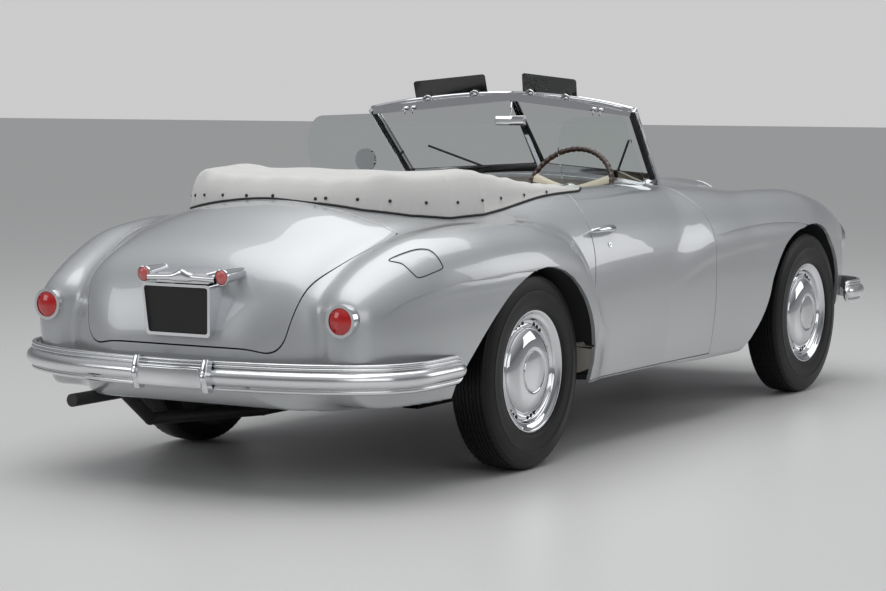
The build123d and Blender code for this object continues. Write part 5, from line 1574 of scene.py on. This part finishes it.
def plate_fittings():
    """Frame round the blank plate, pull bar above it and two round reflector lamps."""
    frame = prism(trapezoid(0.150, 0.138, 0.092, -0.094, 0.016), 0.020, -0.10,
                  trapezoid(0.139, 0.128, 0.082, -0.083, 0.012))
    plate = prism(trapezoid(0.140, 0.129, 0.083, -0.084, 0.012), 0.010, -0.06)
    seat_outline = rounded([(-0.120, -0.022), (0.120, -0.022), (0.105, 0.016), (-0.105, 0.016)],
                           0.01, 6) + [PULL_SHIFT, PULL_HEIGHT]
    seat = prism(seat_outline, 0.016, -0.10)
    rows = []
    stations, turns = np.linspace(-1, 1, 61), np.arange(16) * 2 * pi / 16
    for at in stations:
        thick = 0.012 + 0.010 * np.exp(-(at / 0.22) ** 2)
        droop = -0.004 * at * at + 0.006 * np.exp(-(at / 0.14) ** 2)
        for turn in turns:
            rows.append((0.145 * at + PULL_SHIFT, PULL_HEIGHT + droop + thick * sin(turn),
                         0.022 + 0.010 * cos(turn)))
    pull = rows, grid_faces(len(stations), len(turns), wrap=True).tolist()
    for name, (points, faces), look, slot, node, sharp in (
            ("plate_housing_dressed", frame, chrome, "chrome", "plate_housing", 30),
            ("number_plate_dressed", plate, plate_black, "plate_black", "number_plate", 30),
            ("boot_pull", pull, chrome, "chrome", "plate_housing", 50),
            ("pull_seat", seat, chrome, "chrome", "plate_housing", 30)):
        dress(name, (on_lid(points), faces), look, "boot", slot, node, sharp=sharp)
    basis = np.array([LID_ACROSS, LID_OUT, np.cross(LID_ACROSS, LID_OUT)])
    for name, profile, look, slot, node in (
            ("reflector_cups", CUP_PROFILE, chrome, "chrome", "plate_housing"),
            ("reflector_glasses", GLASS_PROFILE, pale_red, "red_glass", "reflector_lamps")):
        points, faces = lathe(profile, 40)
        parts = []
        for spot in (PULL_SHIFT - 0.168, PULL_SHIFT + 0.168):
            centre = on_lid([(spot, PULL_HEIGHT + 0.004, 0.0)])[0]
            parts.append((points @ basis + centre, faces))
        dress(name, merged(parts), look, "boot", slot, node, sharp=40)


plate_fittings()


# ---- door furniture ---------------------------------------------------------------------------
def skin_side(x, z, side):
    """Point and normal of the body's side at a place of the side view."""
    p = np.array([[x, side * 0.86, z]])
    for _ in range(8):
        value, grad = field_at(p)
        p[:, 1] -= np.clip(value / grad[:, 1], -0.05, 0.05)
    return p[0], unit(field_at(p)[1])[0]


GRIP_HIGH, GRIP_THICK = 0.0175, 0.0115   # half sizes of the pull at its thickest
KEY_PLACE = (-0.694, 0.812)             # of the key barrel in the side view


def door_handles():
    """Teardrop pull on two bosses, and a key barrel below its front end with a black disc of
    painted shade for its keyhole.
    """
    for hand, side in (("left", 1), ("right", -1)):
        node = f"door_handle_{hand}"
        places = f"{hand}_door", "chrome", node
        rows = []
        shares, turns = np.linspace(0, 1, 33), np.arange(18) * 2 * pi / 18
        for share in shares:
            p, n = skin_side(-0.832 + 0.196 * share, 0.862 + 0.004 * share, side)
            size = np.sqrt(max(0.0, 1 - (2 * share - 1) ** 4)) * (0.55 + 0.45 * share)
            centre = p + n * (0.022 + 0.010 * sin(pi * share))
            up = unit(np.cross(n, [side * 1.0, 0, 0]))
            up = up if up[2] > 0 else -up
            for turn in turns:
                rows.append(centre + up * GRIP_HIGH * size * sin(turn)
                            + n * GRIP_THICK * size * cos(turn))
        faces = grid_faces(len(shares), len(turns), wrap=True)
        parts = [(np.array(rows), faces if side > 0 else faces[:, ::-1])]
        for x, radius in ((-0.815, 0.0085), (-0.655, 0.012)):
            p, n = skin_side(x, 0.864, side)
            parts.append(tube([p - n * 0.006, p + n * 0.024], radius, 18))
        p, n = skin_side(*KEY_PLACE, side)
        parts.append(tube([p - n * 0.004, p + n * 0.0035], 0.0095, 24))
        dress(node + "_grip", merged(parts), chrome, *places, sharp=40)
        # Black disc on the barrel's face: painted shade of the keyhole.
        slot = tube([p + n * 0.0030, p + n * 0.0042], 0.0040, 12)
        dress(node + "_keyhole_shade", slot, rubber_black_and_shade, *places)


door_handles()


# ---- fuel flap --------------------------------------------------------------------------------
FLAP_EDGE = [(-2.154, -0.679), (-2.062, -0.709), (-2.017, -0.731), (-1.994, -0.754),
             (-1.992, -0.794), (-2.007, -0.803), (-2.107, -0.782), (-2.130, -0.762),
             (-2.137, -0.722)]
FLAP_LEVEL = 0.86                       # height near which the flap is looked for


def fuel_flap():
    """The filler's flap on the right rear wing: a flush panel with a black tube of painted shade
    in the gap round it.
    """
    edge = spline(FLAP_EDGE, 8, closed=True)
    height = surface_height(edge[:, 0], edge[:, 1], FLAP_LEVEL)
    line = np.column_stack([edge, height + 0.0002])
    # A black tube along the gap: painted shade of the gap.
    dress("fuel_flap_gap_shade", tube(line, 0.0022, 8, closed=True), rubber_black_and_shade, "car", "paint",
          "rear_body", sharp=None)
    middle = edge.mean(0)
    rings = []
    for share, lift in ((0.955, -0.001), (0.90, 0.0008), (0.6, 0.0008), (0.3, 0.0008),
                        (0.02, 0.0008)):
        ring = middle + (edge - middle) * share
        height = surface_height(ring[:, 0], ring[:, 1], FLAP_LEVEL)
        rings.append(np.column_stack([ring, height + lift]))
    dress("fuel_flap", (np.concatenate(rings), grid_faces(len(rings), len(edge), wrap=True)),
          paint, "car", "paint", "rear_body", sharp=None)


fuel_flap()


# ---- windscreen trim and mirror ---------------------------------------------------------------
POST_FOOT = np.array([0.214, 0.0, 1.088])
POST_HEAD = np.array([-0.055, 0.0, 1.394])
PILLAR_FOOT = np.array([0.098, 0.610, 1.052])
PILLAR_HEAD = np.array([-0.162, 0.639, 1.330])


def windscreen_trim():
    """Black rubber round each pane and on the pillars, with a bright strip outside."""
    seals, strips = [], []
    for side in (-1, 1):
        flip = np.array([1, side, 1])
        corners = [corner * flip for corner in (POST_FOOT + [0, 0.012, 0.0], PILLAR_FOOT,
                                                PILLAR_HEAD, POST_HEAD)]
        centre = sum(corners) / 4
        shrunk = [centre + (corner - centre) * 0.975 for corner in corners]
        loop = []
        for a, b in zip(shrunk, shrunk[1:] + shrunk[:1]):
            loop += [a + (b - a) * t for t in np.linspace(0.03, 0.97, 12)]
        seals.append(tube(loop, 0.0075, 8, closed=True))
        foot, head = PILLAR_FOOT * flip, PILLAR_HEAD * flip
        rake = unit(head - foot)
        for shift in ([-0.017, side * 0.004, 0], [-0.019, side * -0.006, 0]):
            seals.append(tube([foot + shift - rake * 0.01, head + shift - rake * 0.01],
                              0.0085, 10))
        shift = np.array([-0.010, side * 0.019, 0])
        strips.append(tube([foot + shift - rake * 0.03, head + shift], 0.0055, 10))
    dress("windscreen_seals", merged(seals), rubber_black_and_shade, "car", "chrome", sharp=None)
    dress("windscreen_strips", merged(strips), chrome, "car", "chrome", sharp=None)


windscreen_trim()


VISOR_LEAN = radians(12)


def header_dress():
    """Arched bright cap on the header, feet of the two visors, catches for the top."""
    caps, fittings = [], []
    upward = np.array([-sin(VISOR_LEAN), 0, cos(VISOR_LEAN)])
    for side, inner, outer in ((1, 0.110, 0.445), (-1, 0.062, 0.355)):
        span = PILLAR_HEAD * np.array([1, side, 1]) - POST_HEAD
        along = unit(span)
        path = []
        for t in np.linspace(-0.004, 1.012, 26):
            rise = 0.010 + 0.017 * (1 - abs(2 * t - 1) ** 2.5)
            path.append(POST_HEAD + span * t + [-0.004, 0, rise])
        caps.append(tube(path, 0.0125, 14))
        caps.append(tube([p + [-0.012, 0, -0.014] for p in path[1:-1]], 0.0055, 10))
        middle, width = (inner + outer) / 2, outer - inner
        for shift in (-0.33, 0.33):
            foot = POST_HEAD + along * (middle + shift * width) + upward * 0.018 + [-0.012, 0, 0]
            arch = [foot + along * a + upward * b for a, b in (
                (-0.021, 0), (-0.017, 0.014), (0, 0.022), (0.017, 0.014), (0.021, 0))]
            fittings.append(tube(spline(arch, 5), 0.0050, 8))
            fittings.append(tube([foot + along * a + upward * 0.006 for a in (-0.012, 0.012)],
                                 0.0070, 10))
        for place in (0.70, 0.755):
            catch = POST_HEAD + span * place + [-0.022, 0, -0.006]
            fittings.append(tube([catch - along * 0.016, catch + along * 0.016], 0.0085, 10))
            fittings.append(tube([catch, catch + [-0.006, 0, -0.026]], 0.0045, 8))
    dress("header_cap", merged(caps), chrome, "car", "chrome", sharp=None)
    dress("header_fittings", merged(fittings), chrome, "car", "chrome", sharp=None)


def interior_mirror():
    """Bright shell on a short stalk, with its glass towards the driver."""
    places = "car", "mirror", "interior_mirror"
    shell = block((-0.070, 0.0, 1.290), (0.010, 0.150, 0.044), 0.004)
    stalk = tube([(-0.066, 0, 1.300), (-0.062, 0, 1.345), (-0.056, 0, 1.384)], 0.0045, 10)
    dress("mirror_shell", merged([shell, stalk]), chrome, *places)
    dress("mirror_pane", block((-0.0775, 0.0, 1.290), (0.004, 0.138, 0.033), 0.001),
          mirror_glass, *places)


header_dress()
interior_mirror()


# ---- chassis frame ----------------------------------------------------------------------------
FRAME_REAR, FRAME_FRONT = -1.50, 2.08   # ends of the part of the frame that is drawn


def underframe():
    """The chassis frame from just behind the rear axle to the arms of the front bumper."""
    rails = cad_skin(NODES["chassis_frame"].data)
    rails = rails.clip(rails.points[:, 0] - FRAME_REAR)
    rails = rails.clip(FRAME_FRONT - rails.points[:, 0])
    dress("underframe", (rails.points, rails.faces), flat_black_and_shade, "car", "chassis_black",
          "chassis_frame", sharp=30)


underframe()


# ---- materials of the CAD nodes ---------------------------------------------------------------
NODE_MATERIALS = {
    "floor_pan": carpet, "chassis_frame": flat_black_and_shade, "engine_block": dark_metal,
    "propeller_shaft": dark_metal, "front_suspension": dark_metal, "rear_axle": dark_metal,
    "exhaust": dark_metal, "front_bumper": polished, "rear_bumper": polished,
    "lamp_rims": chrome, "headlamp_lenses": lamp_glass, "tail_lamp_lenses": red_glass,
    "grille": chrome, "windscreen_frame": chrome, "windscreen_glass": glass,
    "sun_visors": smoked, "interior_mirror": chrome, "wipers": rubber_black_and_shade,
    "dashboard": dash_paint, "steering_column": dark_metal, "front_seats": leather,
    "rear_bench": leather, "top_cover": canvas, "door_glass_left": glass,
    "door_glass_right": glass, "door_handle_left": chrome, "door_handle_right": chrome,
    "door_mirror": chrome, "plate_housing": chrome, "number_plate": plate_black,
    "reflector_lamps": pale_red, "steering_wheel": wood, "knuckle_left": dark_metal,
    "knuckle_right": dark_metal,
}
for node, look in NODE_MATERIALS.items():
    NODES[node].data.materials.clear()
    NODES[node].data.materials.append(look)
for end in ("front", "rear"):
    for hand in ("left", "right"):
        for kind, look in (("tyre", rubber), ("wheel", chrome)):
            mesh = NODES[f"{kind}_{end}_{hand}"].data
            mesh.materials.clear()
            mesh.materials.append(look)


# ---- floor, light and camera ------------------------------------------------------------------
FLOOR = 60                              # half size of the floor
SOFTBOXES = [  # place, size, power, what it points at
    ((-0.5, 0.0, 6.5), (11, 6.5), 330, (-0.5, 0, 0.5)),
    ((-7.5, -7.0, 4.0), (7.5, 4.5), 120, (-0.5, 0, 0.6)),
    ((7.0, -6.5, 3.5), (4.5, 3.5), 90, (0.5, 0, 0.6)),
    ((-8.0, 6.0, 3.5), (3.5, 3.0), 60, (-1.0, 0, 0.6))]


def floor():
    """A plain pale floor."""
    look = bpy.data.materials.new("studio_floor")
    look.use_nodes = True
    shader = look.node_tree.nodes["Principled BSDF"]
    shader.inputs["Base Color"].default_value = (0.64, 0.64, 0.635, 1)
    shader.inputs["Roughness"].default_value = 0.35
    mesh = bpy.data.meshes.new("floor")
    corners = [(-FLOOR, -FLOOR, 0), (FLOOR, -FLOOR, 0), (FLOOR, FLOOR, 0), (-FLOOR, FLOOR, 0)]
    mesh.from_pydata(corners, [], [(0, 1, 2, 3)])
    mesh.materials.append(look)
    obj = bpy.data.objects.new("floor", mesh)
    bpy.context.scene.collection.objects.link(obj)


def surroundings():
    """Grey surroundings that are paler above; the camera sees them as one grey."""
    world = bpy.data.worlds.new("studio")
    bpy.context.scene.world = world
    world.use_nodes = True
    nodes, links = world.node_tree.nodes, world.node_tree.links
    where = nodes.new("ShaderNodeTexCoord")
    split = nodes.new("ShaderNodeSeparateXYZ")
    links.new(where.outputs["Generated"], split.inputs[0])
    height = nodes.new("ShaderNodeMath")
    height.operation = "MULTIPLY_ADD"
    height.inputs[1].default_value = 0.5
    height.inputs[2].default_value = 0.5
    links.new(split.outputs["Z"], height.inputs[0])
    ramp_node = nodes.new("ShaderNodeValToRGB")
    stops = ramp_node.color_ramp.elements
    stops[0].position, stops[0].color = 0.50, (0.30, 0.30, 0.31, 1)
    stops[1].position, stops[1].color = 1.0, (0.80, 0.80, 0.80, 1)
    stops.new(0.60).color = (0.16, 0.16, 0.17, 1)
    stops.new(0.80).color = (0.44, 0.45, 0.46, 1)
    links.new(height.outputs[0], ramp_node.inputs["Fac"])
    path = nodes.new("ShaderNodeLightPath")
    mix = nodes.new("ShaderNodeMix")
    mix.data_type = "RGBA"
    mix.inputs[MIX_B].default_value = (0.60, 0.60, 0.60, 1)
    links.new(path.outputs["Is Camera Ray"], mix.inputs[MIX_FACTOR])
    links.new(ramp_node.outputs["Color"], mix.inputs[MIX_A])
    links.new(mix.outputs[MIX_RESULT], nodes["Background"].inputs["Color"])


def softboxes():
    """Four large soft lamps: one overhead and three round the car."""
    for spot, size, power, aim in SOFTBOXES:
        lamp = bpy.data.lights.new("softbox", "AREA")
        lamp.shape = "RECTANGLE"
        lamp.size, lamp.size_y = size
        lamp.energy = power
        obj = bpy.data.objects.new("softbox", lamp)
        obj.location = spot
        obj.rotation_euler = (Vector(aim) - Vector(spot)).to_track_quat("-Z", "Y").to_euler()
        bpy.context.scene.collection.objects.link(obj)


def main_camera():
    """Low view of the tail and the right side."""
    camera = bpy.data.cameras.new("main_camera")
    camera.lens, camera.sensor_width = 100, 36
    camera.clip_end = 200
    view = bpy.data.objects.new("main_camera", camera)
    view.location = (-9.264, -5.224, 1.476)
    view.rotation_euler = (radians(90 - 5.066), 0, radians(30.735 - 90))
    bpy.context.scene.collection.objects.link(view)
    bpy.context.scene.camera = view


def studio():
    """Floor, surroundings, lamps and camera of the pictures."""
    floor()
    surroundings()
    softboxes()
    main_camera()
    bpy.context.scene.view_settings.view_transform = "Standard"


studio()
